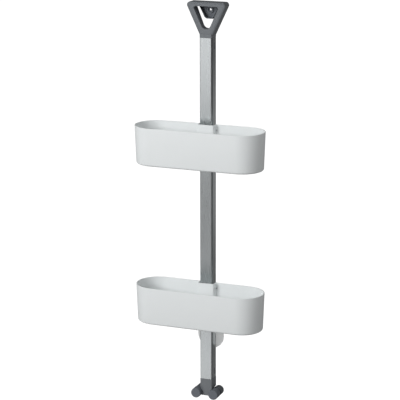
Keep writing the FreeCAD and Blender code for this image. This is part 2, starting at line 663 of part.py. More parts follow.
def make_suction_cup():
    """A shallow cup whose neck passes through the pole's rear slot to a button in the carrier."""
    button_front = BUTTON_REAR + " - button_thick"
    profile = [
        ("0", button_front), ("button_radius", button_front), ("button_radius", BUTTON_REAR),
        ("neck_radius", BUTTON_REAR), ("neck_radius", "-cup_height"), ("neck_radius * 2.4", "-cup_height"),
        ("cup_radius * 0.8", "-cup_height * 0.5"), ("cup_radius", "-cup_edge"), ("cup_radius", "0"),
        ("cup_radius * 0.96", "0"), ("cup_radius * 0.6", "-cup_height + cup_skin * 1.3"),
        ("0", "-cup_height + cup_skin"),
    ]
    turned("suction_cup", profile, "0", "0", CUP_Z)


def make_cup_carrier():
    """A block in the pole's bore with a T slot, open below, for the cup's neck and button."""
    body = new_body("cup_carrier")
    rear = "(%s - running_gap)" % BORE_REAR
    half = "(%s - running_gap)" % BORE_HALF
    base = "%s - carrier_height / 2" % CUP_Z
    block = rectangle(body, "XY_Plane", base, "-" + half, half, NECK_REAR + " + running_gap", rear)
    pad(body, block, "carrier_height")
    button_slot = ("button_radius + button_side_gap", BUTTON_REAR + " - button_thick - button_gap",
                   BUTTON_REAR + " + button_gap")
    neck_slot = ("neck_radius + button_side_gap", BUTTON_REAR, rear + " + 1")
    for wide, start, stop in (button_slot, neck_slot):
        slot = rectangle(body, "XY_Plane", base, "-(%s)" % wide, wide, start, stop)
        pocket(body, slot, "carrier_height / 2 + %s" % wide, back=True)


# ---------------------------------------------------------------- baskets

def make_basket(label, rim):
    """A tapered stadium tub; the rear wall steps in round the pole to make a channel boss."""
    body = new_body(label)
    middle = "%s - basket_depth / 2" % REAR_LINE
    span = "basket_length - basket_depth"
    draft = "atan(basket_draft / basket_height)"
    base = stadium(body, "XY_Plane", "0", span, "basket_depth / 2 - basket_draft", "0", middle)
    block = pad(body, base, "basket_height", taper=draft)
    dress(body, "Fillet", block, edges(block, lambda p: abs(p.z) < 1e-3), "basket_round")
    floor = stadium(body, "XY_Plane", "basket_wall", span, "basket_depth / 2 - basket_draft - basket_wall", "0", middle)
    inside = pocket(body, floor, "basket_height", back=True, taper=draft)
    dress(body, "Fillet", inside, edges(inside, lambda p: near(p.z, "basket_wall")), "basket_round - basket_wall")
    cheek = "(%s + basket_wall)" % CHANNEL_HALF
    boss = rectangle(body, "XY_Plane", "0", "-" + cheek, cheek, CHANNEL_FRONT + " - basket_wall", REAR_LINE)
    pad(body, boss, "basket_height")
    notch = rectangle(body, "XY_Plane", "-1", "-" + CHANNEL_HALF, CHANNEL_HALF, CHANNEL_FRONT, REAR_LINE + " + 1")
    pocket(body, notch, "basket_height + 2", back=True)
    for height in rail_screw_heights():
        for side in (-1, 1):
            x = "%d * %s" % (side, RAIL_SCREW_X)
            pad(body, circle(body, "XZ_Plane", "-(%s)" % REAR_LINE, x, height, "boss_radius"), "boss_length")
            pilot = circle(body, "XZ_Plane", "-(%s)" % REAR_LINE, x, height, "rail_screw_radius")
            pocket(body, pilot, "rail_screw_length - ear_thick + rail_hole_gap", back=True)
    spots = stadium(body, "XY_Plane", "-1", "drain_length - drain_width", "drain_width / 2",
                    "-(drain_count - 1) / 2 * drain_pitch", "%s - basket_depth * 0.02" % middle)
    first = pocket(body, spots, "basket_wall + 2", back=True)
    row = body.newObject("PartDesign::LinearPattern", "Drains")
    row.Originals = [first]
    row.Direction = (spots, ["H_Axis"])
    row.setExpression("Length", bind("(drain_count - 1) * drain_pitch"))
    row.setExpression("Occurrences", bind("drain_count"))
    body.Tip = row
    doc.recompute()
    body.setExpression("Placement.Base.z", bind("%s - basket_height" % rim))
    return body




def rail_screw_heights():
    """Heights of the rail screws above the basket's base."""
    return ("rail_lift + rail_screw_margin", "rail_lift + %s - rail_screw_margin" % RAIL_HEIGHT)


def make_rail(label, side, rim):
    """An angle whose rib runs in the pole's groove and whose ear is screwed to the basket."""
    body = new_body(label)
    inner = RAIL_INNER
    rail_front = CHANNEL_FRONT + " + rail_front_gap"
    rib_tip = "(pole_width / 2 - groove_depth + running_gap)"
    rib_front = POLE_FRONT + " + groove_inset + running_gap"
    rib_rear = POLE_FRONT + " + groove_inset + groove_width - running_gap"
    ear_tip = "(%s + ear_width)" % CHANNEL_HALF
    ear_rear = "(%s + ear_thick)" % REAR_LINE
    corners = [
        (inner, rail_front), (CHANNEL_HALF, rail_front), (CHANNEL_HALF, REAR_LINE),
        (ear_tip, REAR_LINE), (ear_tip, ear_rear), (inner, ear_rear),
        (inner, rib_rear), (rib_tip, rib_rear), (rib_tip, rib_front), (inner, rib_front),
    ]
    if side < 0:
        corners = [("-(%s)" % x, y) for x, y in corners]
    pad(body, polygon(body, "XY_Plane", "rail_lift", corners), RAIL_HEIGHT)
    for height in rail_screw_heights():
        hole = circle(body, "XZ_Plane", "-" + ear_rear, "%d * %s" % (side, RAIL_SCREW_X), height,
                      "rail_screw_radius + rail_hole_gap")
        pocket(body, hole, "ear_thick", back=True)
    seat = rectangle(body, "YZ_Plane", "%d * %s" % (side, inner), PAD_FRONT, PAD_FRONT + " + pad_width", PAD_LOW,
                     PAD_LOW + " + pad_length")
    pocket(body, seat, "pad_thick", back=side > 0)
    body.setExpression("Placement.Base.z", bind("%s - basket_height" % rim))
    return body


def make_rail_screws(label, rim):
    """Four screws through the rails' ears into the basket's bosses."""
    screws = []
    head_y = "%s + ear_thick + rail_head_height" % REAR_LINE
    for height in rail_screw_heights():
        z = "%s - basket_height + %s" % (rim, height)
        for side in (-1, 1):
            x = "%d * %s" % (side, RAIL_SCREW_X)
            number = len(screws) + 1
            head = cylinder("%s_head_%d" % (label, number), "rail_screw_head", "rail_head_height",
                            (x, head_y, z), (0, -1, 0))
            shank = cylinder("%s_shank_%d" % (label, number), "rail_screw_radius",
                             "rail_screw_length + rail_head_height", (x, head_y, z), (0, -1, 0))
            screws.append(join("%s_%d" % (label, number), [head, shank]))
    keep(group(label, screws), label)


def make_friction_pads(label, rim):
    """Two rubber strips set in the rails' inner faces, beside the pole."""
    strips = []
    low_z = "%s - basket_height + %s" % (rim, PAD_LOW)
    left = ("-%s - pad_thick" % RAIL_INNER, "-" + RAIL_INNER)
    right = (RAIL_INNER, RAIL_INNER + " + pad_thick")
    for number, (start, stop) in enumerate([left, right], start=1):
        strips.append(box("%s_%d" % (label, number), (start, PAD_FRONT, low_z),
                          (stop, PAD_FRONT + " + pad_width", low_z + " + pad_length")))
    keep(group(label, strips), label)


def make_basket_unit(name, rim):
    """A basket with what holds it to the pole."""
    make_basket(name + "_basket", rim)
    for side_name, side in (("left", -1), ("right", 1)):
        make_rail("%s_%s_rail" % (name, side_name), side, rim)
    make_rail_screws(name + "_rail_screws", rim)
    make_friction_pads(name + "_friction_pads", rim)


make_wall_hook()
make_pole()
make_head_handle()
make_foot_hub()
for end_name, catch_z in (("top", UPPER_CATCH_Z), ("bottom", LOWER_CATCH_Z)):
    make_catch(end_name + "_left_catch", -1, catch_z)
    make_catch(end_name + "_right_catch", 1, catch_z)
    make_catch_spring(end_name + "_catch_spring", catch_z)
make_knobs()
make_suction_cup()
make_cup_carrier()
make_basket_unit("upper", UPPER_RIM)
make_basket_unit("lower", LOWER_RIM)

# ---------------------------------------------------------------- check and write

doc.recompute()
for thing in doc.Objects:
    if "Invalid" in thing.State or "Error" in thing.State:
        raise RuntimeError("%s failed: %s" % (thing.Label, thing.State))
for piece in made:
    if piece.Shape.isNull() or not piece.Shape.isValid():
        raise RuntimeError("%s has no valid shape" % piece.Label)
for piece in made:
    piece.Shape.exportStep("parts/%s.step" % piece.Label)
    bounds = piece.Shape.BoundBox
    print("%-22s solids %d volume %10.1f  x %7.1f %7.1f  y %7.1f %7.1f  z %7.1f %7.1f" % (
        piece.Label, len(piece.Shape.Solids), piece.Shape.Volume,
        bounds.XMin, bounds.XMax, bounds.YMin, bounds.YMax, bounds.ZMin, bounds.ZMax))
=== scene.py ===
"""Wall-hung shower caddy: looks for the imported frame, laid out as an add-on."""

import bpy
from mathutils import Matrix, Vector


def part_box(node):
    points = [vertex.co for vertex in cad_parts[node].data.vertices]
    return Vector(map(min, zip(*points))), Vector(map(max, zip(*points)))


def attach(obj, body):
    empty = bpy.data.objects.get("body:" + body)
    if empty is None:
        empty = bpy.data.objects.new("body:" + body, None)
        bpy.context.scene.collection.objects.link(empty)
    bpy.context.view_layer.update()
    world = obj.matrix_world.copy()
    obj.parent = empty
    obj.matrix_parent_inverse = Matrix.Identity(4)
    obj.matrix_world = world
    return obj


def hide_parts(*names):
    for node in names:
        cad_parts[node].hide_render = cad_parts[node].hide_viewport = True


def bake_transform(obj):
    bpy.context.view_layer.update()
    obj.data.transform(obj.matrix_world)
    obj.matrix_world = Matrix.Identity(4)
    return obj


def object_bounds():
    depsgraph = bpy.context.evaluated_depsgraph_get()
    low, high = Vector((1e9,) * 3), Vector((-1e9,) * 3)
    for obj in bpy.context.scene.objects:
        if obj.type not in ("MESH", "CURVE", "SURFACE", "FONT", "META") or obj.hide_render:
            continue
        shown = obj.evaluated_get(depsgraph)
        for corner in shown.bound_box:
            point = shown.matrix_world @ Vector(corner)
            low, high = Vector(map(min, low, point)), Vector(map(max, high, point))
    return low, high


bl_info = {
    "name": "Shower caddy",
    "version": (1, 0, 0),
    "blender": (4, 5, 0),
    "location": "3D View > Sidebar > Caddy",
    "description": "Builds a hanging shower caddy with two sliding baskets on an aluminium pole",
    "category": "Add Mesh",
}

import math

import bmesh
import bpy
from mathutils import Matrix, Vector

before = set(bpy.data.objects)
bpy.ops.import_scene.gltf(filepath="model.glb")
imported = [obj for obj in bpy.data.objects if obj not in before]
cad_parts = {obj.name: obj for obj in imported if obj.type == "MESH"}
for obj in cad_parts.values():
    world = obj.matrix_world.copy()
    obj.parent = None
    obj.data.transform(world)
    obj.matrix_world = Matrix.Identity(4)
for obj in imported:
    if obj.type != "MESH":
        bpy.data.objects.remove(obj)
CAD_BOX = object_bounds()

MM = 0.001
LEVELS = ("upper", "lower")
ENDS = ("top", "bottom")
SIDES = ("left", "right")

# Points closer than this are one point.
MERGE = 0.001 * MM
# Edges between faces that meet at more than this many degrees stay crisp.
CRISP_MOULDING = 40.0
CRISP_TURNING = 35.0
CRISP_SHELL = 30.0
# Faces within the first angle of each other become one, and edges sharper than the second are softened.
FLAT_BELOW = 0.6
SOFT_ABOVE = 38.0


# ---------------------------------------------------------------- settings

def length(label, text, size):
    """A size that a user can change, in metres."""
    return bpy.props.FloatProperty(name=label, description=text, default=size, unit="LENGTH", precision=5)


def colour(label, text, rgb):
    """A colour that a user can change."""
    return bpy.props.FloatVectorProperty(name=label, description=text, default=rgb, size=3, min=0, max=1,
                                         subtype="COLOR")


def number(label, text, value, unit="NONE"):
    """A strength, share or power that a user can change."""
    return bpy.props.FloatProperty(name=label, description=text, default=value, unit=unit)


class CaddyBasketSettings(bpy.types.PropertyGroup):
    """Sizes and colour of both baskets."""
    wall: length("Wall", "Thickness of the walls and floor", 2.0 * MM)
    draft: length("Draft", "How much smaller the base is, on every side", 3.2 * MM)
    base_round: length("Base round", "Radius of the outer edge of the base", 4.5 * MM)
    rim_round: length("Rim round", "Radius of the rim's two edges", 0.7 * MM)
    channel_half: length("Channel half width", "Half the channel that the pole runs in", 17.25 * MM)
    channel_depth: length("Channel depth", "Rear wall's line to the channel's front wall", 15.1 * MM)
    cheek_round: length("Cheek round", "Inside radius where a channel side meets the rear wall", 5.0 * MM)
    boss_round: length("Boss round", "Inside radius of the channel's front corners", 2.6 * MM)
    outside_round: length("Outside round", "Radius of the channel's corners on the outer face", 0.5 * MM)
    slot_count: bpy.props.IntProperty(name="Drain slots", description="Slots in the floor", default=9, min=1)
    slot_pitch: length("Slot pitch", "Distance between drain slots", 20.0 * MM)
    slot_length: length("Slot length", "Drain slot, end to end", 16.0 * MM)
    slot_width: length("Slot width", "Drain slot", 4.0 * MM)
    plastic: colour("Plastic", "Moulded basket", (0.87, 0.90, 0.905))


class CaddyHandleSettings(bpy.types.PropertyGroup):
    """Colours and edges of the handle, hook and foot."""
    edge: length("Edge", "Rounding of the moulded edges", 0.5 * MM)
    plastic: colour("Plastic", "Handle and foot", (0.155, 0.168, 0.182))
    hook_plastic: colour("Hook plastic", "Wall hook", (0.15, 0.165, 0.185))
    latch_plastic: colour("Latch plastic", "Snap catches", (0.16, 0.17, 0.19))


class CaddyPoleSettings(bpy.types.PropertyGroup):
    """Finish of the pole and its small metal parts."""
    edge: length("Edge", "Rounding of the extrusion's small edges", 0.25 * MM)
    metal: colour("Metal", "Clear anodised aluminium", (0.66, 0.69, 0.70))
    steel: colour("Steel", "Screws and springs", (0.60, 0.61, 0.62))


class CaddyFittingSettings(bpy.types.PropertyGroup):
    """Slide rails with their screws and pads, and the snap catches with their springs."""
    rail_edge: length("Rail edge", "Rounding of the rails and pads", 0.3 * MM)
    screw_head: length("Screw head", "Radius of a rail screw's head", 2.8 * MM)
    screw_rise: length("Screw rise", "Height of a rail screw's head", 1.8 * MM)
    catch_edge: length("Catch edge", "Rounding of the catches", 0.4 * MM)
    spring_wire: length("Spring wire", "Radius of the wire of the springs", 0.3 * MM)
    rail_plastic: colour("Rail plastic", "Slide rails and the cup's carrier", (0.66, 0.69, 0.71))
    pad_rubber: colour("Pad rubber", "Friction pads", (0.05, 0.05, 0.052))


class CaddyKnobSettings(bpy.types.PropertyGroup):
    """Knobs and bumpers of the foot."""
    face_round: length("Face round", "Radius of a knob's front edge", 1.4 * MM)
    bumper_round: length("Bumper round", "Radius of a bumper's rear edge", 3.0 * MM)
    back_round: length("Back round", "Radius of the edge that faces the foot", 0.7 * MM)
    bore: length("Bore", "Radius of the blind hole for the foot's pin", 5.05 * MM)
    bore_bevel: length("Bore bevel", "Bevel at the mouth of the hole", 0.4 * MM)
    knob_front: length("Knob front", "Solid plastic in front of a knob's hole", 6.5 * MM)
    bumper_bore: length("Bumper bore", "Depth of the hole in a bumper", 10.1 * MM)
    plastic: colour("Plastic", "Front knobs", (0.15, 0.163, 0.185))
    rubber: colour("Rubber", "Rear bumpers", (0.12, 0.13, 0.145))


class CaddyCupSettings(bpy.types.PropertyGroup):
    """The suction cup and its carrier."""
    crown: length("Crown", "Depth of the dish, from its rim to its neck", 4.3 * MM)
    rim: length("Rim", "Thickness of the dish at its rim", 0.8 * MM)
    skin: length("Skin", "Thickness of the dish at its crown", 1.8 * MM)
    neck: length("Neck", "Radius of the neck", 4.0 * MM)
    neck_round: length("Neck round", "Where the neck runs out into the dish", 0.8 * MM)
    button: length("Button", "Radius of the button that the carrier holds", 6.5 * MM)
    button_depth: length("Button depth", "Thickness of the button", 3.0 * MM)
    button_front: length("Button front", "Bevel of the button's front edge", 0.6 * MM)
    button_back: length("Button back", "Bevel of the button's rear edge", 0.4 * MM)
    carrier_edge: length("Carrier edge", "Rounding of the carrier", 0.4 * MM)
    rubber: colour("Rubber", "Suction cup", (0.82, 0.83, 0.83))


class CaddyStageSettings(bpy.types.PropertyGroup):
    """Floor, light and camera."""
    floor_drop: length("Floor drop", "Foot of the caddy down to the floor", 0.42)
    floor: colour("Floor", "Plain floor", (0.32, 0.32, 0.32))
    floor_glow: number("Floor glow", "White added to the floor in view", 1.0)
    sky: number("Sky", "Strength of the even light all round", 0.24)
    shiny_sky: number("Sky in shine", "Share of the sky that shiny parts mirror", 0.4)
    key_power: number("Key", "Power of the large soft light", 93.0, "POWER")
    sheen_power: number("Sheen", "Power of the light that shiny parts mirror", 4.6, "POWER")
    fill_power: number("Fill", "Power of the light on the right", 22.0, "POWER")
    rim_power: number("Rim", "Power of the light behind, mirrored in the sides", 0.5, "POWER")
    low_power: number("Low", "Power of the light near the floor", 0.33, "POWER")
    focal: number("Focal length", "Camera lens, in millimetres", 158.41, "CAMERA")


SETTINGS = {
    "caddy_baskets": CaddyBasketSettings,
    "caddy_handle": CaddyHandleSettings,
    "caddy_pole": CaddyPoleSettings,
    "caddy_fittings": CaddyFittingSettings,
    "caddy_knobs": CaddyKnobSettings,
    "caddy_cup": CaddyCupSettings,
    "caddy_stage": CaddyStageSettings,
}


# ---------------------------------------------------------------- node trees

def add(tree, kind, inputs=None, **settings):
    """A node with its settings, and its inputs set to values or joined to other sockets."""
    node = tree.nodes.new(kind)
    for name, setting in settings.items():
        setattr(node, name, setting)
    for name, source in (inputs or {}).items():
        if isinstance(source, bpy.types.NodeSocket):
            tree.links.new(source, node.inputs[name])
        else:
            node.inputs[name].default_value = source
    return node


def math_node(tree, operation, first, second=0.0):
    """The result of one sum, from values or sockets."""
    return add(tree, "ShaderNodeMath", {0: first, 1: second}, operation=operation).outputs[0]


def new_group(name, kind, inputs, outputs):
    """An empty node group with named sockets: (tree, its input node)."""
    tree = bpy.data.node_groups.new(name, kind)
    for label, (socket, default) in inputs.items():
        made = tree.interface.new_socket(label, in_out="INPUT", socket_type="NodeSocket" + socket)
        if default is not None:
            made.default_value = default
    for label, socket in outputs.items():
        tree.interface.new_socket(label, in_out="OUTPUT", socket_type="NodeSocket" + socket)
    return tree, tree.nodes.new("NodeGroupInput")


def close_group(tree, results):
    """The tree with its results joined to its output."""
    end = tree.nodes.new("NodeGroupOutput")
    for label, socket in results.items():
        tree.links.new(socket, end.inputs[label])
    return tree


# ---------------------------------------------------------------- shader groups

def mottle_group():
    """Soft differences in tone and gloss, as on any moulded or cast surface."""
    tree, given = new_group("mottle", "ShaderNodeTree", {
        "Colour": ("Color", (0.5, 0.5, 0.5, 1)), "Tone": ("Float", 0.05), "Roughness": ("Float", 0.4),
        "Spread": ("Float", 0.05), "Scale": ("Float", 30.0),
    }, {"Colour": "Color", "Roughness": "Float"})
    place = add(tree, "ShaderNodeTexCoord").outputs["Object"]
    cloud = add(tree, "ShaderNodeTexNoise", {"Vector": place, "Scale": given.outputs["Scale"], "Detail": 4.0})
    swing = math_node(tree, "SUBTRACT", cloud.outputs["Fac"], 0.5)
    tone = math_node(tree, "ADD", math_node(tree, "MULTIPLY", swing, given.outputs["Tone"]), 1.0)
    toned = add(tree, "ShaderNodeVectorMath", {0: given.outputs["Colour"], "Scale": tone}, operation="SCALE")
    gloss = math_node(tree, "MULTIPLY", swing, given.outputs["Spread"])
    rough = math_node(tree, "ADD", given.outputs["Roughness"], gloss)
    return close_group(tree, {"Colour": toned.outputs[0], "Roughness": rough})


def grain_group():
    """The fine leathery or sandy texture of a mould, as a normal."""
    tree, given = new_group("mould_grain", "ShaderNodeTree", {
        "Size": ("Float", 900.0), "Depth": ("Float", 0.05), "Ripple": ("Float", 0.2),
    }, {"Normal": "Vector"})
    place = add(tree, "ShaderNodeTexCoord").outputs["Object"]
    pits = add(tree, "ShaderNodeTexVoronoi", {"Vector": place, "Scale": given.outputs["Size"]},
               feature="SMOOTH_F1")
    waves = add(tree, "ShaderNodeTexNoise", {"Vector": place, "Scale": 14.0, "Detail": 1.0})
    height = math_node(tree, "ADD", pits.outputs["Distance"],
                       math_node(tree, "MULTIPLY", waves.outputs["Fac"], given.outputs["Ripple"]))
    bump = add(tree, "ShaderNodeBump", {"Strength": 1.0, "Distance": given.outputs["Depth"],
                                        "Height": height})
    return close_group(tree, {"Normal": bump.outputs["Normal"]})


def drawn_group():
    """Long fine lines along Z, as on a drawn and brushed extrusion."""
    tree, given = new_group("drawn_lines", "ShaderNodeTree", {
        "Colour": ("Color", (0.6, 0.6, 0.6, 1)), "Tone": ("Float", 0.08), "Roughness": ("Float", 0.35),
        "Spread": ("Float", 0.12), "Depth": ("Float", 0.00002), "Density": ("Float", 2600.0),
    }, {"Colour": "Color", "Roughness": "Float", "Normal": "Vector"})
    place = add(tree, "ShaderNodeTexCoord").outputs["Object"]
    long = add(tree, "ShaderNodeMapping", {"Vector": place, "Scale": (1.0, 1.0, 0.004)})
    fine = add(tree, "ShaderNodeTexNoise", {"Vector": long.outputs[0], "Scale": given.outputs["Density"],
                                            "Detail": 3.0, "Roughness": 0.6})
    broad = add(tree, "ShaderNodeMapping", {"Vector": place, "Scale": (1.0, 1.0, 0.06)})
    bands = add(tree, "ShaderNodeTexNoise", {"Vector": broad.outputs[0], "Scale": 160.0, "Detail": 2.0})
    mixed = math_node(tree, "ADD", math_node(tree, "MULTIPLY", fine.outputs["Fac"], 0.6),
                      math_node(tree, "MULTIPLY", bands.outputs["Fac"], 0.4))
    swing = math_node(tree, "SUBTRACT", mixed, 0.5)
    tone = math_node(tree, "ADD", math_node(tree, "MULTIPLY", swing, given.outputs["Tone"]), 1.0)
    toned = add(tree, "ShaderNodeVectorMath", {0: given.outputs["Colour"], "Scale": tone}, operation="SCALE")
    rough = math_node(tree, "ADD", given.outputs["Roughness"],
                      math_node(tree, "MULTIPLY", swing, given.outputs["Spread"]))
    bump = add(tree, "ShaderNodeBump", {"Strength": 1.0, "Distance": given.outputs["Depth"],
                                        "Height": fine.outputs["Fac"]})
    return close_group(tree, {"Colour": toned.outputs[0], "Roughness": rough,
                              "Normal": bump.outputs["Normal"]})


def wear_group():
    """Edges rubbed paler, broken up by noise, and a little dust on what faces up."""
    tree, given = new_group("edge_wear", "ShaderNodeTree", {
        "Colour": ("Color", (0.5, 0.5, 0.5, 1)), "Worn": ("Color", (0.7, 0.7, 0.7, 1)),
        "Amount": ("Float", 0.4), "Dust": ("Float", 0.1),
    }, {"Colour": "Color"})
    place = add(tree, "ShaderNodeTexCoord").outputs["Object"]
    shape = add(tree, "ShaderNodeNewGeometry")
    edge = add(tree, "ShaderNodeMapRange", {"Value": shape.outputs["Pointiness"], "From Min": 0.52,
                                            "From Max": 0.62})
    scuffs = add(tree, "ShaderNodeTexNoise", {"Vector": place, "Scale": 120.0, "Detail": 6.0})
    broken = add(tree, "ShaderNodeMapRange", {"Value": scuffs.outputs["Fac"], "From Min": 0.42,
                                              "From Max": 0.62})
    rubbed = math_node(tree, "MULTIPLY", math_node(tree, "MULTIPLY", edge.outputs[0], broken.outputs[0]),
                       given.outputs["Amount"])
    up = add(tree, "ShaderNodeSeparateXYZ", {0: shape.outputs["Normal"]})
    top = add(tree, "ShaderNodeMapRange", {"Value": up.outputs["Z"], "From Min": 0.6, "From Max": 1.0})
    dusty = math_node(tree, "MULTIPLY", math_node(tree, "MULTIPLY", top.outputs[0], scuffs.outputs["Fac"]),
                      given.outputs["Dust"])
    both = math_node(tree, "ADD", rubbed, dusty)
    mixed = add(tree, "ShaderNodeMix", {"Factor": both, "A": given.outputs["Colour"],
                                        "B": given.outputs["Worn"]}, data_type="RGBA")
    return close_group(tree, {"Colour": mixed.outputs["Result"]})


GROUPS = {}


def group_node(tree, name, inputs):
    """One of the shared effects, built the first time that it is asked for."""
    makers = {"mottle": mottle_group, "mould_grain": grain_group, "drawn_lines": drawn_group,
              "edge_wear": wear_group}
    if name not in GROUPS:
        GROUPS[name] = makers[name]()
    return add(tree, "ShaderNodeGroup", inputs, node_tree=GROUPS[name])


def rgba(rgb):
    """An opaque colour."""
    return (*rgb, 1.0)


def paler(rgb, gain, lift=0.0):
    """The colour of a rubbed edge."""
    return rgba([min(1.0, c * gain + lift) for c in rgb])


def new_material(name):
    """A material with its shader: (material, tree, shader)."""
    made = bpy.data.materials.new(name)
    made.use_nodes = True
    return made, made.node_tree, made.node_tree.nodes["Principled BSDF"]


def set_values(shader, values):
    """Sets the shader's own sockets to uniform values."""
    for name, value in values.items():
        shader.inputs[name].default_value = value


def moulded_material(name, rgb, rough, grain, depth, wear=0.3, tone=0.06, dust=0.06, specular=0.5):
    """Moulded plastic or rubber: mottled tone, mould grain and paler edges."""
    made, tree, shader = new_material(name)
    base = group_node(tree, "mottle", {"Colour": rgba(rgb), "Tone": tone, "Roughness": rough, "Spread": 0.12,
                                       "Scale": 22.0})
    rubbed = group_node(tree, "edge_wear", {"Colour": base.outputs["Colour"], "Worn": paler(rgb, 1.5, 0.03),
                                            "Amount": wear, "Dust": dust})
    texture = group_node(tree, "mould_grain", {"Size": grain, "Depth": depth, "Ripple": 0.15})
    tree.links.new(rubbed.outputs["Colour"], shader.inputs["Base Color"])
    tree.links.new(base.outputs["Roughness"], shader.inputs["Roughness"])
    tree.links.new(texture.outputs["Normal"], shader.inputs["Normal"])
    set_values(shader, {"Specular IOR Level": specular})
    return made


def metal_material(name, rgb, rough, density, depth):
    """Drawn metal with lines along Z and rubbed edges."""
    made, tree, shader = new_material(name)
    lines = group_node(tree, "drawn_lines", {"Colour": rgba(rgb), "Tone": 0.16, "Roughness": rough,
                                             "Spread": 0.12, "Depth": depth, "Density": density})
    rubbed = group_node(tree, "edge_wear", {"Colour": lines.outputs["Colour"], "Worn": paler(rgb, 1.12),
                                            "Amount": 0.5, "Dust": 0.03})
    tree.links.new(rubbed.outputs["Colour"], shader.inputs["Base Color"])
    tree.links.new(lines.outputs["Roughness"], shader.inputs["Roughness"])
    tree.links.new(lines.outputs["Normal"], shader.inputs["Normal"])
    set_values(shader, {"Metallic": 1.0})
    return made


def basket_material():
    """White plastic, thin enough for a little light to spread inside it."""
    rgb = bpy.context.scene.caddy_baskets.plastic
    made = moulded_material("basket_plastic", rgb, 0.42, 1500.0, 0.000012, wear=0.15, tone=0.03, dust=0.02)
    set_values(made.node_tree.nodes["Principled BSDF"], {
        "Subsurface Weight": 0.06, "Subsurface Radius": (0.004, 0.004, 0.004), "Subsurface Scale": 1.0,
    })
    return made


def cup_material():
    """Milky soft rubber that lets some light through."""
    rgb = bpy.context.scene.caddy_cup.rubber
    made = moulded_material("cup_rubber", rgb, 0.30, 700.0, 0.00001, wear=0.1, tone=0.08, dust=0.04)
    set_values(made.node_tree.nodes["Principled BSDF"], {"Transmission Weight": 0.6, "IOR": 1.4})
    return made


MATERIALS = {}


def material_for(finish):
    """The material of one of the object's finishes, made the first time that it is asked for."""
    if finish in MATERIALS:
        return MATERIALS[finish]
    scene = bpy.context.scene
    handle, pole = scene.caddy_handle, scene.caddy_pole
    knobs, fittings = scene.caddy_knobs, scene.caddy_fittings
    # Colour, roughness, grain size and grain depth.
    moulded = {
        "slate_plastic": (handle.plastic, 0.34, 1100.0, 0.00001),
        "hook_plastic": (handle.hook_plastic, 0.48, 1100.0, 0.00003),
        "latch_plastic": (handle.latch_plastic, 0.5, 1400.0, 0.00002),
        "knob_plastic": (knobs.plastic, 0.44, 1200.0, 0.000025),
        "bumper_rubber": (knobs.rubber, 0.62, 800.0, 0.00004),
        "pad_rubber": (fittings.pad_rubber, 0.7, 900.0, 0.00004),
        "rail_plastic": (fittings.rail_plastic, 0.38, 1600.0, 0.00001),
    }
    special = {"slate_plastic": {"dust": 0.0, "specular": 1.0}, "bumper_rubber": {"wear": 0.4}}
    # Colour, roughness, density of the lines and their depth.
    metals = {
        "anodised_aluminium": (pole.metal, 0.28, 2600.0, 0.000006),
        "screw_steel": (pole.steel, 0.3, 3000.0, 0.000004),
        "spring_steel": (pole.steel, 0.25, 4000.0, 0.000003),
    }
    if finish in moulded:
        made = moulded_material(finish, *moulded[finish], **special.get(finish, {}))
    elif finish in metals:
        made = metal_material(finish, *metals[finish])
    else:
        made = {"basket_plastic": basket_material, "cup_rubber": cup_material}[finish]()
    MATERIALS[finish] = made
    return made


# ---------------------------------------------------------------- mesh tools

def shade(mesh, crisp):
    """Smooth shading, but edges sharper than the angle stay crisp."""
    mesh.shade_smooth()
    mesh.set_sharp_from_angle(angle=math.radians(crisp))


def new_object(name, mesh, finish):
    """An object at the origin with one finish."""
    piece = bpy.data.objects.new(name, mesh)
    bpy.context.scene.collection.objects.link(piece)
    mesh.materials.clear()
    mesh.materials.append(material_for(finish))
    return piece


def settle(piece):
    """The piece with its modifiers made part of its mesh."""
    ready = piece.evaluated_get(bpy.context.evaluated_depsgraph_get())
    mesh = bpy.data.meshes.new_from_object(ready)
    old = piece.data
    piece.modifiers.clear()
    piece.data = mesh
    mesh.name = piece.name
    bpy.data.meshes.remove(old)
    return piece


def corner(before, here, after, radius, steps):
    """Points of the arc that rounds one corner of an outline."""
    here = Vector(here)
    back = (Vector(before) - here).normalized()
    ahead = (Vector(after) - here).normalized()
    half = back.angle(ahead) / 2
    centre = here + (back + ahead).normalized() * (radius / math.sin(half))
    start = here + back * (radius / math.tan(half)) - centre
    stop = here + ahead * (radius / math.tan(half)) - centre
    first = math.atan2(start.y, start.x)
    turn = (math.atan2(stop.y, stop.x) - first + math.pi) % (2 * math.pi) - math.pi
    angles = [first + turn * i / steps for i in range(steps + 1)]
    return [centre + Vector((math.cos(a), math.sin(a))) * radius for a in angles]


def arc(x, y, radius, first, last, steps):
    """Points along a circle, between two angles in degrees."""
    angles = [math.radians(first + (last - first) * i / steps) for i in range(steps + 1)]
    return [Vector((x + radius * math.cos(a), y + radius * math.sin(a))) for a in angles]


def closed_piece(name, bm, finish, crisp):
    """The object that a bmesh describes, with doubled points merged and its faces turned outwards."""
    bmesh.ops.remove_doubles(bm, verts=bm.verts, dist=MERGE)
    bmesh.ops.recalc_face_normals(bm, faces=bm.faces)
    mesh = bpy.data.meshes.new(name)
    bm.to_mesh(mesh)
    bm.free()
    shade(mesh, crisp)
    return new_object(name, mesh, finish)


def loft(name, loops, finish):
    """A closed surface through loops that all have the same number of points."""
    bm = bmesh.new()
    rows = [[bm.verts.new(point) for point in loop] for loop in loops]
    for low, high in zip(rows, rows[1:]):
        for i in range(len(low)):
            j = (i + 1) % len(low)
            bm.faces.new((low[i], low[j], high[j], high[i]))
    bm.faces.new(rows[0])
    bm.faces.new(rows[-1])
    return closed_piece(name, bm, finish, CRISP_SHELL)


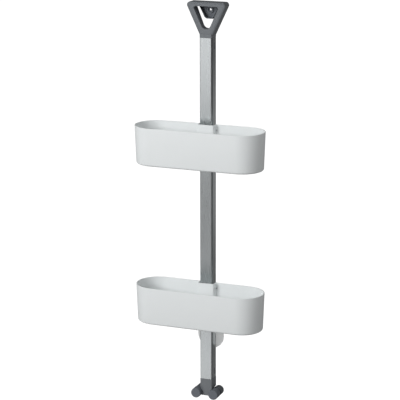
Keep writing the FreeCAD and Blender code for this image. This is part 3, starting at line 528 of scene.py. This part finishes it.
def turned(name, profile, centre, finish, steps=96):
    """A closed turned piece: the profile gives radius and y, and turns about a line along Y."""
    bm = bmesh.new()
    points = [bm.verts.new((centre[0] + radius, y, centre[1])) for radius, y in profile]
    for first, second in zip(points, points[1:]):
        bm.edges.new((first, second))
    bmesh.ops.spin(bm, geom=bm.verts[:] + bm.edges[:], cent=(centre[0], 0, centre[1]), axis=(0, 1, 0),
                   angle=2 * math.pi, steps=steps, use_duplicate=False)
    return closed_piece(name, bm, finish, CRISP_TURNING)


def refined(name, node, finish, edge):
    """A merged copy of a CAD node with its triangles joined into faces and its edges softened."""
    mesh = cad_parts[node].data.copy()
    mesh.name = name
    bm = bmesh.new()
    bm.from_mesh(mesh)
    bmesh.ops.remove_doubles(bm, verts=bm.verts, dist=MERGE)
    bmesh.ops.dissolve_limit(bm, angle_limit=math.radians(FLAT_BELOW), verts=bm.verts, edges=bm.edges)
    bm.to_mesh(mesh)
    bm.free()
    shade(mesh, CRISP_MOULDING)
    piece = new_object(name, mesh, finish)
    soften = piece.modifiers.new("edges", "BEVEL")
    soften.width = edge
    soften.segments = 2
    soften.limit_method = "ANGLE"
    soften.angle_limit = math.radians(SOFT_ABOVE)
    soften.use_clamp_overlap = True
    soften.miter_outer = "MITER_ARC"
    level = piece.modifiers.new("normals", "WEIGHTED_NORMAL")
    level.keep_sharp = True
    return settle(piece)


def show(piece, body, slot, *nodes):
    """Places a finished piece on its body and hides the CAD nodes that it stands for; the slot is not used.
    """
    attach(piece, body)
    if nodes:
        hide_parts(*nodes)


# ---------------------------------------------------------------- geometry node trees

# The cutters of the drain slots start below the floor and reach through it.
CUTTER_DROP = 4.0 * MM
CUTTER_DEPTH = 12.0 * MM
# The round of a slot's end is a hair under half its width, so that the two rounds never meet.
END_SHARE = 0.499


def run_tree(piece, tree, values):
    """Runs a geometry tree on the piece with its named inputs, and keeps the result."""
    modifier = piece.modifiers.new(tree.name, "NODES")
    modifier.node_group = tree
    for item in tree.interface.items_tree:
        if item.item_type == "SOCKET" and item.in_out == "INPUT" and item.name in values:
            modifier[item.identifier] = values[item.name]
    return settle(piece)


def close_geometry(tree, given, geometry):
    """Ends a geometry tree by giving its result the material that it was given."""
    coat = add(tree, "GeometryNodeSetMaterial", {"Geometry": geometry, "Material": given.outputs["Material"]})
    return close_group(tree, {"Geometry": coat.outputs[0]})


def drain_tree():
    """Cuts a row of round-ended slots through whatever it is given."""
    tree, given = new_group("drain_slots", "GeometryNodeTree", {
        "Geometry": ("Geometry", None), "Count": ("Int", 9), "Pitch": ("Float", 0.02),
        "Length": ("Float", 0.016), "Width": ("Float", 0.004), "Place": ("Vector", (0, 0, 0)),
        "Material": ("Material", None),
    }, {"Geometry": "Geometry"})
    box = add(tree, "GeometryNodeCurvePrimitiveQuadrilateral", {"Width": given.outputs["Length"],
                                                                "Height": given.outputs["Width"]})
    end_round = math_node(tree, "MULTIPLY", given.outputs["Width"], END_SHARE)
    ends = add(tree, "GeometryNodeFilletCurve", {"Curve": box.outputs[0], "Radius": end_round, "Count": 6},
               mode="POLY")
    face = add(tree, "GeometryNodeFillCurve", {"Curve": ends.outputs[0]}, mode="NGONS")
    deep = add(tree, "GeometryNodeExtrudeMesh", {"Mesh": face.outputs[0], "Offset Scale": CUTTER_DEPTH,
                                                 "Individual": False})
    back = add(tree, "GeometryNodeFlipFaces", {"Mesh": face.outputs[0]})
    both = tree.nodes.new("GeometryNodeJoinGeometry")
    tree.links.new(deep.outputs["Mesh"], both.inputs[0])
    tree.links.new(back.outputs[0], both.inputs[0])
    solid = add(tree, "GeometryNodeMergeByDistance", {"Geometry": both.outputs[0], "Distance": MERGE})
    count = math_node(tree, "SUBTRACT", given.outputs["Count"], 1.0)
    reach = math_node(tree, "MULTIPLY", math_node(tree, "MULTIPLY", count, given.outputs["Pitch"]), 0.5)
    step = add(tree, "ShaderNodeCombineXYZ", {"X": given.outputs["Pitch"]})
    shift = add(tree, "ShaderNodeCombineXYZ", {"X": math_node(tree, "MULTIPLY", reach, -1.0)})
    start = add(tree, "ShaderNodeVectorMath", {0: shift.outputs[0], 1: given.outputs["Place"]},
                operation="ADD")
    row = add(tree, "GeometryNodeMeshLine", {"Count": given.outputs["Count"],
                                             "Start Location": start.outputs[0], "Offset": step.outputs[0]})
    cutters = add(tree, "GeometryNodeInstanceOnPoints", {"Points": row.outputs[0],
                                                         "Instance": solid.outputs[0]})
    real = add(tree, "GeometryNodeRealizeInstances", {"Geometry": cutters.outputs[0]})
    cut = add(tree, "GeometryNodeMeshBoolean", {"Mesh 1": given.outputs["Geometry"],
                                                "Mesh 2": real.outputs[0]}, operation="DIFFERENCE")
    whole = add(tree, "GeometryNodeRealizeInstances", {"Geometry": cut.outputs[0]})
    return close_geometry(tree, given, whole.outputs[0])


def screw_tree():
    """A pan-head screw with a cross recess at every point, pointing along -Y."""
    tree, given = new_group("screw_set", "GeometryNodeTree", {
        "Geometry": ("Geometry", None), "Head": ("Float", 0.0028), "Height": ("Float", 0.0018),
        "Shank": ("Float", 0.0014), "Length": ("Float", 0.008), "Material": ("Material", None),
    }, {"Geometry": "Geometry"})
    dome = add(tree, "GeometryNodeMeshUVSphere", {"Segments": 24, "Rings": 12,
                                                  "Radius": given.outputs["Head"]})
    squash = math_node(tree, "DIVIDE", given.outputs["Height"], given.outputs["Head"])
    flat = add(tree, "ShaderNodeCombineXYZ", {"X": 1.0, "Y": 1.0, "Z": squash})
    pan = add(tree, "GeometryNodeTransform", {"Geometry": dome.outputs[0], "Scale": flat.outputs[0]})
    block = 10.0 * MM
    under = add(tree, "GeometryNodeMeshCube", {"Size": (block, block, block)})
    below = add(tree, "GeometryNodeTransform", {"Geometry": under.outputs[0],
                                                "Translation": (0, 0, -block / 2)})
    arm, width, depth = 2.8 * MM, 0.6 * MM, 1.6 * MM
    cross = []
    for size in ((arm, width, depth), (width, arm, depth)):
        bar = add(tree, "GeometryNodeMeshCube", {"Size": size})
        lift = add(tree, "ShaderNodeCombineXYZ", {"Z": given.outputs["Height"]})
        cross.append(add(tree, "GeometryNodeTransform", {"Geometry": bar.outputs[0],
                                                         "Translation": lift.outputs[0]}))
    head = add(tree, "GeometryNodeMeshBoolean", {"Mesh 1": pan.outputs[0]}, operation="DIFFERENCE")
    for cutter in [below] + cross:
        tree.links.new(cutter.outputs[0], head.inputs["Mesh 2"])
    shank = add(tree, "GeometryNodeMeshCylinder", {"Vertices": 20, "Radius": given.outputs["Shank"],
                                                   "Depth": given.outputs["Length"]})
    half_back = math_node(tree, "MULTIPLY", given.outputs["Length"], -0.5)
    drop = add(tree, "ShaderNodeCombineXYZ", {"Z": half_back})
    low = add(tree, "GeometryNodeTransform", {"Geometry": shank.outputs[0], "Translation": drop.outputs[0]})
    both = tree.nodes.new("GeometryNodeJoinGeometry")
    tree.links.new(head.outputs[0], both.inputs[0])
    tree.links.new(low.outputs[0], both.inputs[0])
    turn = add(tree, "GeometryNodeTransform", {"Geometry": both.outputs[0],
                                               "Rotation": (math.radians(-90.0), 0.0, 0.0)})
    placed = add(tree, "GeometryNodeInstanceOnPoints", {"Points": given.outputs["Geometry"],
                                                        "Instance": turn.outputs[0]})
    whole = add(tree, "GeometryNodeRealizeInstances", {"Geometry": placed.outputs[0]})
    return close_geometry(tree, given, whole.outputs[0])


def coil_tree():
    """A wire coil along X, centred on the single point that it is given."""
    tree, given = new_group("wire_coil", "GeometryNodeTree", {
        "Geometry": ("Geometry", None), "Turns": ("Float", 6.0), "Radius": ("Float", 0.0022),
        "Length": ("Float", 0.0127), "Wire": ("Float", 0.0003), "Material": ("Material", None),
    }, {"Geometry": "Geometry"})
    line = add(tree, "GeometryNodeCurveSpiral", {
        "Resolution": 32, "Rotations": given.outputs["Turns"], "Start Radius": given.outputs["Radius"],
        "End Radius": given.outputs["Radius"], "Height": given.outputs["Length"],
    })
    section = add(tree, "GeometryNodeCurvePrimitiveCircle", {"Resolution": 10,
                                                             "Radius": given.outputs["Wire"]})
    wire = add(tree, "GeometryNodeCurveToMesh", {"Curve": line.outputs[0],
                                                 "Profile Curve": section.outputs[0], "Fill Caps": True})
    half_back = math_node(tree, "MULTIPLY", given.outputs["Length"], -0.5)
    drop = add(tree, "ShaderNodeCombineXYZ", {"Z": half_back})
    centred = add(tree, "GeometryNodeTransform", {"Geometry": wire.outputs[0],
                                                  "Translation": drop.outputs[0]})
    turn = add(tree, "GeometryNodeTransform", {"Geometry": centred.outputs[0],
                                               "Rotation": (0.0, math.radians(90.0), 0.0)})
    placed = add(tree, "GeometryNodeInstanceOnPoints", {"Points": given.outputs["Geometry"],
                                                        "Instance": turn.outputs[0]})
    whole = add(tree, "GeometryNodeRealizeInstances", {"Geometry": placed.outputs[0]})
    smooth = add(tree, "GeometryNodeSetShadeSmooth", {"Geometry": whole.outputs[0]})
    return close_geometry(tree, given, smooth.outputs[0])


def points_object(name, points, finish):
    """A mesh of loose points that a geometry tree turns into pieces."""
    mesh = bpy.data.meshes.new(name)
    mesh.from_pydata([tuple(p) for p in points], [], [])
    piece = bpy.data.objects.new(name, mesh)
    bpy.context.scene.collection.objects.link(piece)
    mesh.materials.append(material_for(finish))
    return piece


# ---------------------------------------------------------------- baskets

def basket_plan(radius, middle, half_span, rear, inset, s):
    """The basket's outline at one level, moved inwards: two half circles and the pole's channel."""
    share = min(1.0, inset / s.wall)
    cheek = s.channel_half + inset
    front = rear - s.channel_depth - inset
    rear_round = s.outside_round + (s.cheek_round - s.outside_round) * share
    front_round = s.outside_round + (s.boss_round - s.outside_round) * share
    line = middle + radius - inset
    points = arc(half_span, middle, radius - inset, -90, 90, 40)
    walk = [(half_span, line), (cheek, line), (cheek, front),
            (-cheek, front), (-cheek, line), (-half_span, line)]
    rounds = (rear_round, front_round, front_round, rear_round)
    for i, size in enumerate(rounds, start=1):
        points += corner(walk[i - 1], walk[i], walk[i + 1], size, 8)
    points += arc(-half_span, middle, radius - inset, 90, 270, 40)
    return points


def basket_loops(low, high, s):
    """Outer wall from the base up, over the rim, and down the inside to the floor."""
    rim_radius = (high.y - low.y) / 2
    middle = (high.y + low.y) / 2
    half_span = (high.x - low.x) / 2 - rim_radius
    height = high.z - low.z

    def level(z, inset):
        """The outline at one height, as points in space."""
        radius = rim_radius - s.draft * (high.z - z) / height
        plan = basket_plan(radius, middle, half_span, high.y, inset, s)
        return [Vector((p.x, p.y, z)) for p in plan]

    def quarter(round_size, steps=6):
        """How far in and how high each step of a rounded edge is."""
        turns = [math.pi / 2 * i / steps for i in range(steps + 1)]
        return [(round_size * (1 - math.sin(a)), round_size * (1 - math.cos(a))) for a in turns]

    loops = [level(low.z + rise, inset) for inset, rise in quarter(s.base_round)]
    loops += [level(high.z - rise, inset) for inset, rise in reversed(quarter(s.rim_round))]
    loops += [level(high.z - rise, s.wall - inset) for inset, rise in quarter(s.rim_round)]
    floor = low.z + s.wall
    inner = s.base_round - s.wall
    loops += [level(floor + rise, s.wall + inset) for inset, rise in reversed(quarter(inner))]
    return loops


class CADDY_OT_baskets(bpy.types.Operator):
    """Makes both open baskets with their channel, round rim and drain slots"""
    bl_idname = "caddy.baskets"
    bl_label = "Baskets"

    def execute(self, context):
        s = context.scene.caddy_baskets
        tree = drain_tree()
        for level in LEVELS:
            low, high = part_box(level + "_basket")
            shell = loft(level + "_basket_shell", basket_loops(low, high, s), "basket_plastic")
            middle = (low.y + high.y) / 2
            run_tree(shell, tree, {
                "Count": s.slot_count, "Pitch": s.slot_pitch, "Length": s.slot_length, "Width": s.slot_width,
                "Place": (0.0, middle, low.z - CUTTER_DROP), "Material": material_for("basket_plastic"),
            })
            shade(shell.data, CRISP_SHELL)
            show(shell, level + "_basket_unit", "basket_white", level + "_basket")
        return {"FINISHED"}


class CADDY_OT_rails(bpy.types.Operator):
    """Makes what holds each basket to the pole: rails, screws and rubber pads"""
    bl_idname = "caddy.rails"
    bl_label = "Slide rails"

    def execute(self, context):
        s = context.scene.caddy_fittings
        tree = screw_tree()
        head = s.screw_head
        for level in LEVELS:
            body = level + "_basket_unit"
            for side in SIDES:
                node = "%s_%s_rail" % (level, side)
                rail = refined(node + "_moulding", node, "rail_plastic", s.rail_edge)
                show(rail, body, "rail_plastic", node)
            low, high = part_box(level + "_rail_screws")
            seat = high.y - s.screw_rise
            columns, rows = (low.x + head, high.x - head), (low.z + head, high.z - head)
            spots = [(x, seat, z) for x in columns for z in rows]
            screws = points_object(level + "_rail_screw_set", spots, "screw_steel")
            run_tree(screws, tree, {"Head": head, "Height": s.screw_rise,
                                    "Material": material_for("screw_steel")})
            shade(screws.data, CRISP_SHELL)
            show(screws, body, "screw_steel", level + "_rail_screws")
            pads = level + "_friction_pads"
            rubber = refined(pads + "_rubber", pads, "pad_rubber", s.rail_edge)
            show(rubber, body, "pad_rubber", pads)
        return {"FINISHED"}


# ---------------------------------------------------------------- pole, handle, hook

class CADDY_OT_pole(bpy.types.Operator):
    """Makes the slotted aluminium extrusion"""
    bl_idname = "caddy.pole"
    bl_label = "Pole"

    def execute(self, context):
        pole = refined("pole_extrusion", "pole", "anodised_aluminium", context.scene.caddy_pole.edge)
        show(pole, "caddy", "anodised_aluminium", "pole")
        return {"FINISHED"}


class CADDY_OT_handle(bpy.types.Operator):
    """Makes the triangular handle with its collar and spigot"""
    bl_idname = "caddy.handle"
    bl_label = "Handle"

    def execute(self, context):
        handle = refined("handle_moulding", "head_handle", "slate_plastic", context.scene.caddy_handle.edge)
        show(handle, "caddy", "slate_plastic", "head_handle")
        return {"FINISHED"}


class CADDY_OT_wall_hook(bpy.types.Operator):
    """Makes the dished hook that is screwed to the wall"""
    bl_idname = "caddy.wall_hook"
    bl_label = "Wall hook"

    def execute(self, context):
        hook = refined("wall_hook_moulding", "wall_hook", "hook_plastic", context.scene.caddy_handle.edge)
        show(hook, "wall_hook", "hook_plastic", "wall_hook")
        return {"FINISHED"}


class CADDY_OT_catches(bpy.types.Operator):
    """Makes the snap catches in the pole's ends and the springs behind them"""
    bl_idname = "caddy.catches"
    bl_label = "Snap catches"

    def execute(self, context):
        s = context.scene.caddy_fittings
        wire = s.spring_wire
        tree = coil_tree()
        for end in ENDS:
            for side in SIDES:
                node = "%s_%s_catch" % (end, side)
                catch = refined(node + "_moulding", node, "latch_plastic", s.catch_edge)
                show(catch, node + "_body", "catch_plastic", node)
            # The spring shortens from both ends, so each half is its own coil, up to one catch.
            node = end + "_catch_spring"
            low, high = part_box(node)
            middle = (low + high) / 2
            half = (high.x - low.x) / 2 - wire
            for side, away in zip(SIDES, (-1, 1)):
                outer = middle + Vector((away * half, 0.0, 0.0))
                coil = points_object("%s_%s_coil" % (node, side), [(middle + outer) / 2], "spring_steel")
                run_tree(coil, tree, {
                    "Turns": 3.0, "Radius": (high.z - low.z) / 2 - wire, "Length": half, "Wire": wire,
                    "Material": material_for("spring_steel"),
                })
                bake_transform(coil)
                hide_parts(node)
        return {"FINISHED"}


# ---------------------------------------------------------------- foot

def axis_point(low, high):
    """Where the axis of a turned node is, in X and Z."""
    return (low.x + high.x) / 2, (low.z + high.z) / 2


def rounded_end(radius, face, inward, size, steps=8):
    """Profile points from a turned piece's axis, out over its face and round the edge; inward is +1 or -1."""
    points = [(0.0, face), ((radius - size) * 0.5, face)]
    for i in range(steps + 1):
        turn = math.pi / 2 * i / steps
        points.append((radius - size + size * math.sin(turn), face + inward * size * (1 - math.cos(turn))))
    return points


def bored_profile(radius, face, mouth, bottom, front, s):
    """Profile of a knob: its rounded face and side, its back edge, and the blind hole for the pin."""
    inward = 1 if mouth > face else -1
    back = rounded_end(radius, mouth, -inward, s.back_round)[2:]
    hole = [(s.bore + s.bore_bevel, mouth), (s.bore, mouth - inward * s.bore_bevel), (s.bore, bottom),
            (0.0, bottom)]
    return front + back[::-1] + hole


class CADDY_OT_foot(bpy.types.Operator):
    """Makes the foot between the pole and the knobs"""
    bl_idname = "caddy.foot"
    bl_label = "Foot"

    def execute(self, context):
        foot = refined("foot_moulding", "foot_hub", "slate_plastic", context.scene.caddy_handle.edge)
        show(foot, "caddy", "slate_plastic", "foot_hub")
        return {"FINISHED"}


class CADDY_OT_knobs(bpy.types.Operator):
    """Makes the four turned knobs: two plastic ones in front and two rubber bumpers behind"""
    bl_idname = "caddy.knobs"
    bl_label = "Knobs and bumpers"

    def execute(self, context):
        s = context.scene.caddy_knobs
        for side in SIDES:
            node = "front_%s_knob" % side
            low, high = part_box(node)
            radius = (high.z - low.z) / 2
            front = rounded_end(radius, low.y, 1, s.face_round)
            profile = bored_profile(radius, low.y, high.y, low.y + s.knob_front, front, s)
            knob = turned(node + "_cap", profile, axis_point(low, high), "knob_plastic")
            show(knob, "caddy", "knob_plastic", node)
            node = "rear_%s_bumper" % side
            low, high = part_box(node)
            radius = (high.z - low.z) / 2
            front = rounded_end(radius, high.y, -1, s.bumper_round, 12)
            profile = bored_profile(radius, high.y, low.y, low.y + s.bumper_bore, front, s)
            bumper = turned(node + "_cap", profile, axis_point(low, high), "bumper_rubber")
            show(bumper, "caddy", "bumper_rubber", node)
        return {"FINISHED"}


class CADDY_OT_cup(bpy.types.Operator):
    """Makes the suction cup behind the pole and the carrier that it hangs on"""
    bl_idname = "caddy.cup"
    bl_label = "Suction cup"

    def execute(self, context):
        s = context.scene.caddy_cup
        low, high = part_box("suction_cup")
        radius = (high.x - low.x) / 2
        root = s.neck + s.neck_round
        button_rear = low.y + s.button_depth
        outside = [(0.0, low.y), (s.button - s.button_front, low.y), (s.button, low.y + s.button_front),
                   (s.button, button_rear - s.button_back), (s.button - s.button_back, button_rear),
                   (s.neck, button_rear), (s.neck, high.y - s.crown - s.neck_round), (root, high.y - s.crown)]
        # Both faces of the skin are curves from the crown to the rim, and the inner one stops a little short.
        inside = []
        inner_radius = 0.985 * radius
        outer_bend, inner_bend = 1.2, 1.3
        steps = 20
        for i in range(steps + 1):
            share = i / steps
            turn = share * math.pi / 2
            if i:
                depth = s.rim + (s.crown - s.rim) * math.cos(turn) ** outer_bend
                outside.append((root + (radius - root) * share, high.y - depth))
            depth = (s.crown - s.skin) * math.sin(turn) ** inner_bend
            inside.append((inner_radius * (1 - share), high.y - depth))
        cup = turned("suction_cup_skin", outside + inside, axis_point(low, high), "cup_rubber", steps=128)
        show(cup, "suction_unit", "cup_rubber", "suction_cup")
        carrier = refined("cup_carrier_block", "cup_carrier", "rail_plastic", s.carrier_edge)
        show(carrier, "suction_unit", "rail_plastic", "cup_carrier")
        return {"FINISHED"}


# ---------------------------------------------------------------- stage

FLOOR_HALF = 14.0
AIM_Y = -0.03
# Name, place and size. These face the caddy's middle and show in no reflection.
SOFT_LIGHTS = (
    ("key", (-1.6, -3.1, 0.9), (2.0, 1.4)),
    ("fill", (3.0, -1.2, 1.4), (1.6, 1.6)),
)
# Name, place, size and height of the point that it faces. These show in reflections only.
MIRRORED_LIGHTS = (
    ("sheen", (-1.24, -3.1, -0.54), (1.6, 0.5), -0.2),
    ("low", (-0.40, -1.0, -1.18), (0.5, 0.3), -0.8),
    ("rim", (1.15, 2.75, -1.0), (1.2, 0.6), -0.4),
)
CAMERA_PLACE = (1.4146, -3.5397, 0.5308)
# Degrees to the left, downwards and round the line of sight.
CAMERA_TURNS = (22.16, 14.11, -0.13)


def area_light(name, place, size, aim, power):
    """A rectangular light that faces a point and that the camera doesn't see."""
    data = bpy.data.lights.new(name, "AREA")
    data.shape = "RECTANGLE"
    data.size, data.size_y = size
    data.energy = power
    lamp = bpy.data.objects.new(name, data)
    lamp.location = place
    lamp.rotation_euler = (Vector(aim) - Vector(place)).to_track_quat("-Z", "Y").to_euler()
    lamp.visible_camera = False
    bpy.context.scene.collection.objects.link(lamp)
    return lamp


def make_floor(scene, s, height):
    """A plain floor that the camera sees as white."""
    near, far = -FLOOR_HALF, FLOOR_HALF * 3
    mesh = bpy.data.meshes.new("floor")
    corners = [(-FLOOR_HALF, near, height), (FLOOR_HALF, near, height), (FLOOR_HALF, far, height),
               (-FLOOR_HALF, far, height)]
    mesh.from_pydata(corners, [], [(0, 1, 2, 3)])
    floor = bpy.data.objects.new("floor", mesh)
    scene.collection.objects.link(floor)
    paint, tree, shader = new_material("floor_paint")
    set_values(shader, {"Base Color": rgba(s.floor), "Emission Color": rgba((1.0, 1.0, 1.0)),
                        "Roughness": 0.9})
    seen = add(tree, "ShaderNodeLightPath")
    direct = math_node(tree, "MAXIMUM", seen.outputs["Is Camera Ray"], seen.outputs["Is Transmission Ray"])
    glow = math_node(tree, "MULTIPLY", direct, s.floor_glow)
    tree.links.new(glow, shader.inputs["Emission Strength"])
    mesh.materials.append(paint)


def make_sky(scene, s):
    """Even white light all round, dimmer in what shiny parts mirror and full white for the camera."""
    world = bpy.data.worlds.new("studio")
    world.use_nodes = True
    tree = world.node_tree
    back = tree.nodes["Background"]
    set_values(back, {"Color": rgba((1.0, 1.0, 1.0))})
    seen = add(tree, "ShaderNodeLightPath")
    dimmed = math_node(tree, "MULTIPLY", seen.outputs["Is Glossy Ray"], (s.shiny_sky - 1.0) * s.sky)
    lit = math_node(tree, "ADD", dimmed, s.sky)
    tree.links.new(math_node(tree, "MAXIMUM", seen.outputs["Is Camera Ray"], lit), back.inputs["Strength"])
    scene.world = world


def make_lights(s, middle):
    """The soft lights, and the lights that only shiny parts show."""
    for name, place, size in SOFT_LIGHTS:
        area_light(name, place, size, middle, getattr(s, name + "_power")).visible_glossy = False
    for name, place, size, height in MIRRORED_LIGHTS:
        aim = (0.0, AIM_Y, height)
        area_light(name, place, size, aim, getattr(s, name + "_power")).visible_diffuse = False


def make_camera(scene, s):
    """The camera, placed by three turns."""
    lens = bpy.data.cameras.new("camera")
    lens.lens = s.focal
    lens.sensor_width = 36.0
    lens.clip_end = 100.0
    camera = bpy.data.objects.new("camera", lens)
    azimuth, pitch, roll = [math.radians(turn) for turn in CAMERA_TURNS]
    forward = Vector((-math.sin(azimuth) * math.cos(pitch), math.cos(azimuth) * math.cos(pitch),
                      -math.sin(pitch)))
    right = Vector((math.cos(azimuth), math.sin(azimuth), 0.0))
    up = right.cross(forward)
    across = right * math.cos(roll) + up * math.sin(roll)
    above = up * math.cos(roll) - right * math.sin(roll)
    turn = Matrix((across, above, -forward)).transposed().to_4x4()
    camera.matrix_world = Matrix.Translation(CAMERA_PLACE) @ turn
    scene.collection.objects.link(camera)
    scene.camera = camera


class CADDY_OT_stage(bpy.types.Operator):
    """Makes the plain floor, soft light and camera"""
    bl_idname = "caddy.stage"
    bl_label = "Stage"

    def execute(self, context):
        scene = context.scene
        s = scene.caddy_stage
        low, high = CAD_BOX
        make_floor(scene, s, low[2] - s.floor_drop)
        make_sky(scene, s)
        make_lights(s, Vector((0.0, AIM_Y, (low[2] + high[2]) / 2)))
        make_camera(scene, s)
        scene.view_settings.view_transform = "Standard"
        return {"FINISHED"}


# ---------------------------------------------------------------- panel and registration

OPERATORS = (CADDY_OT_baskets, CADDY_OT_rails, CADDY_OT_pole, CADDY_OT_handle, CADDY_OT_wall_hook,
             CADDY_OT_catches, CADDY_OT_foot, CADDY_OT_knobs, CADDY_OT_cup, CADDY_OT_stage)


class CADDY_PT_panel(bpy.types.Panel):
    """Lists the pieces of the caddy"""
    bl_idname = "CADDY_PT_panel"
    bl_label = "Shower caddy"
    bl_space_type = "VIEW_3D"
    bl_region_type = "UI"
    bl_category = "Caddy"

    def draw(self, context):
        for name, group in SETTINGS.items():
            box = self.layout.box()
            for label in group.__annotations__:
                box.prop(getattr(context.scene, name), label)
        for operator in OPERATORS:
            self.layout.operator(operator.bl_idname)


def register():
    for name, group in SETTINGS.items():
        bpy.utils.register_class(group)
        setattr(bpy.types.Scene, name, bpy.props.PointerProperty(type=group))
    for operator in OPERATORS:
        bpy.utils.register_class(operator)
    bpy.utils.register_class(CADDY_PT_panel)


def unregister():
    bpy.utils.unregister_class(CADDY_PT_panel)
    for operator in reversed(OPERATORS):
        bpy.utils.unregister_class(operator)
    for name, group in reversed(SETTINGS.items()):
        delattr(bpy.types.Scene, name)
        bpy.utils.unregister_class(group)


def main():
    """Builds every piece in order."""
    register()
    for operator in OPERATORS:
        group, name = operator.bl_idname.split(".")
        getattr(getattr(bpy.ops, group), name)()


if __name__ == "__main__":
    main()
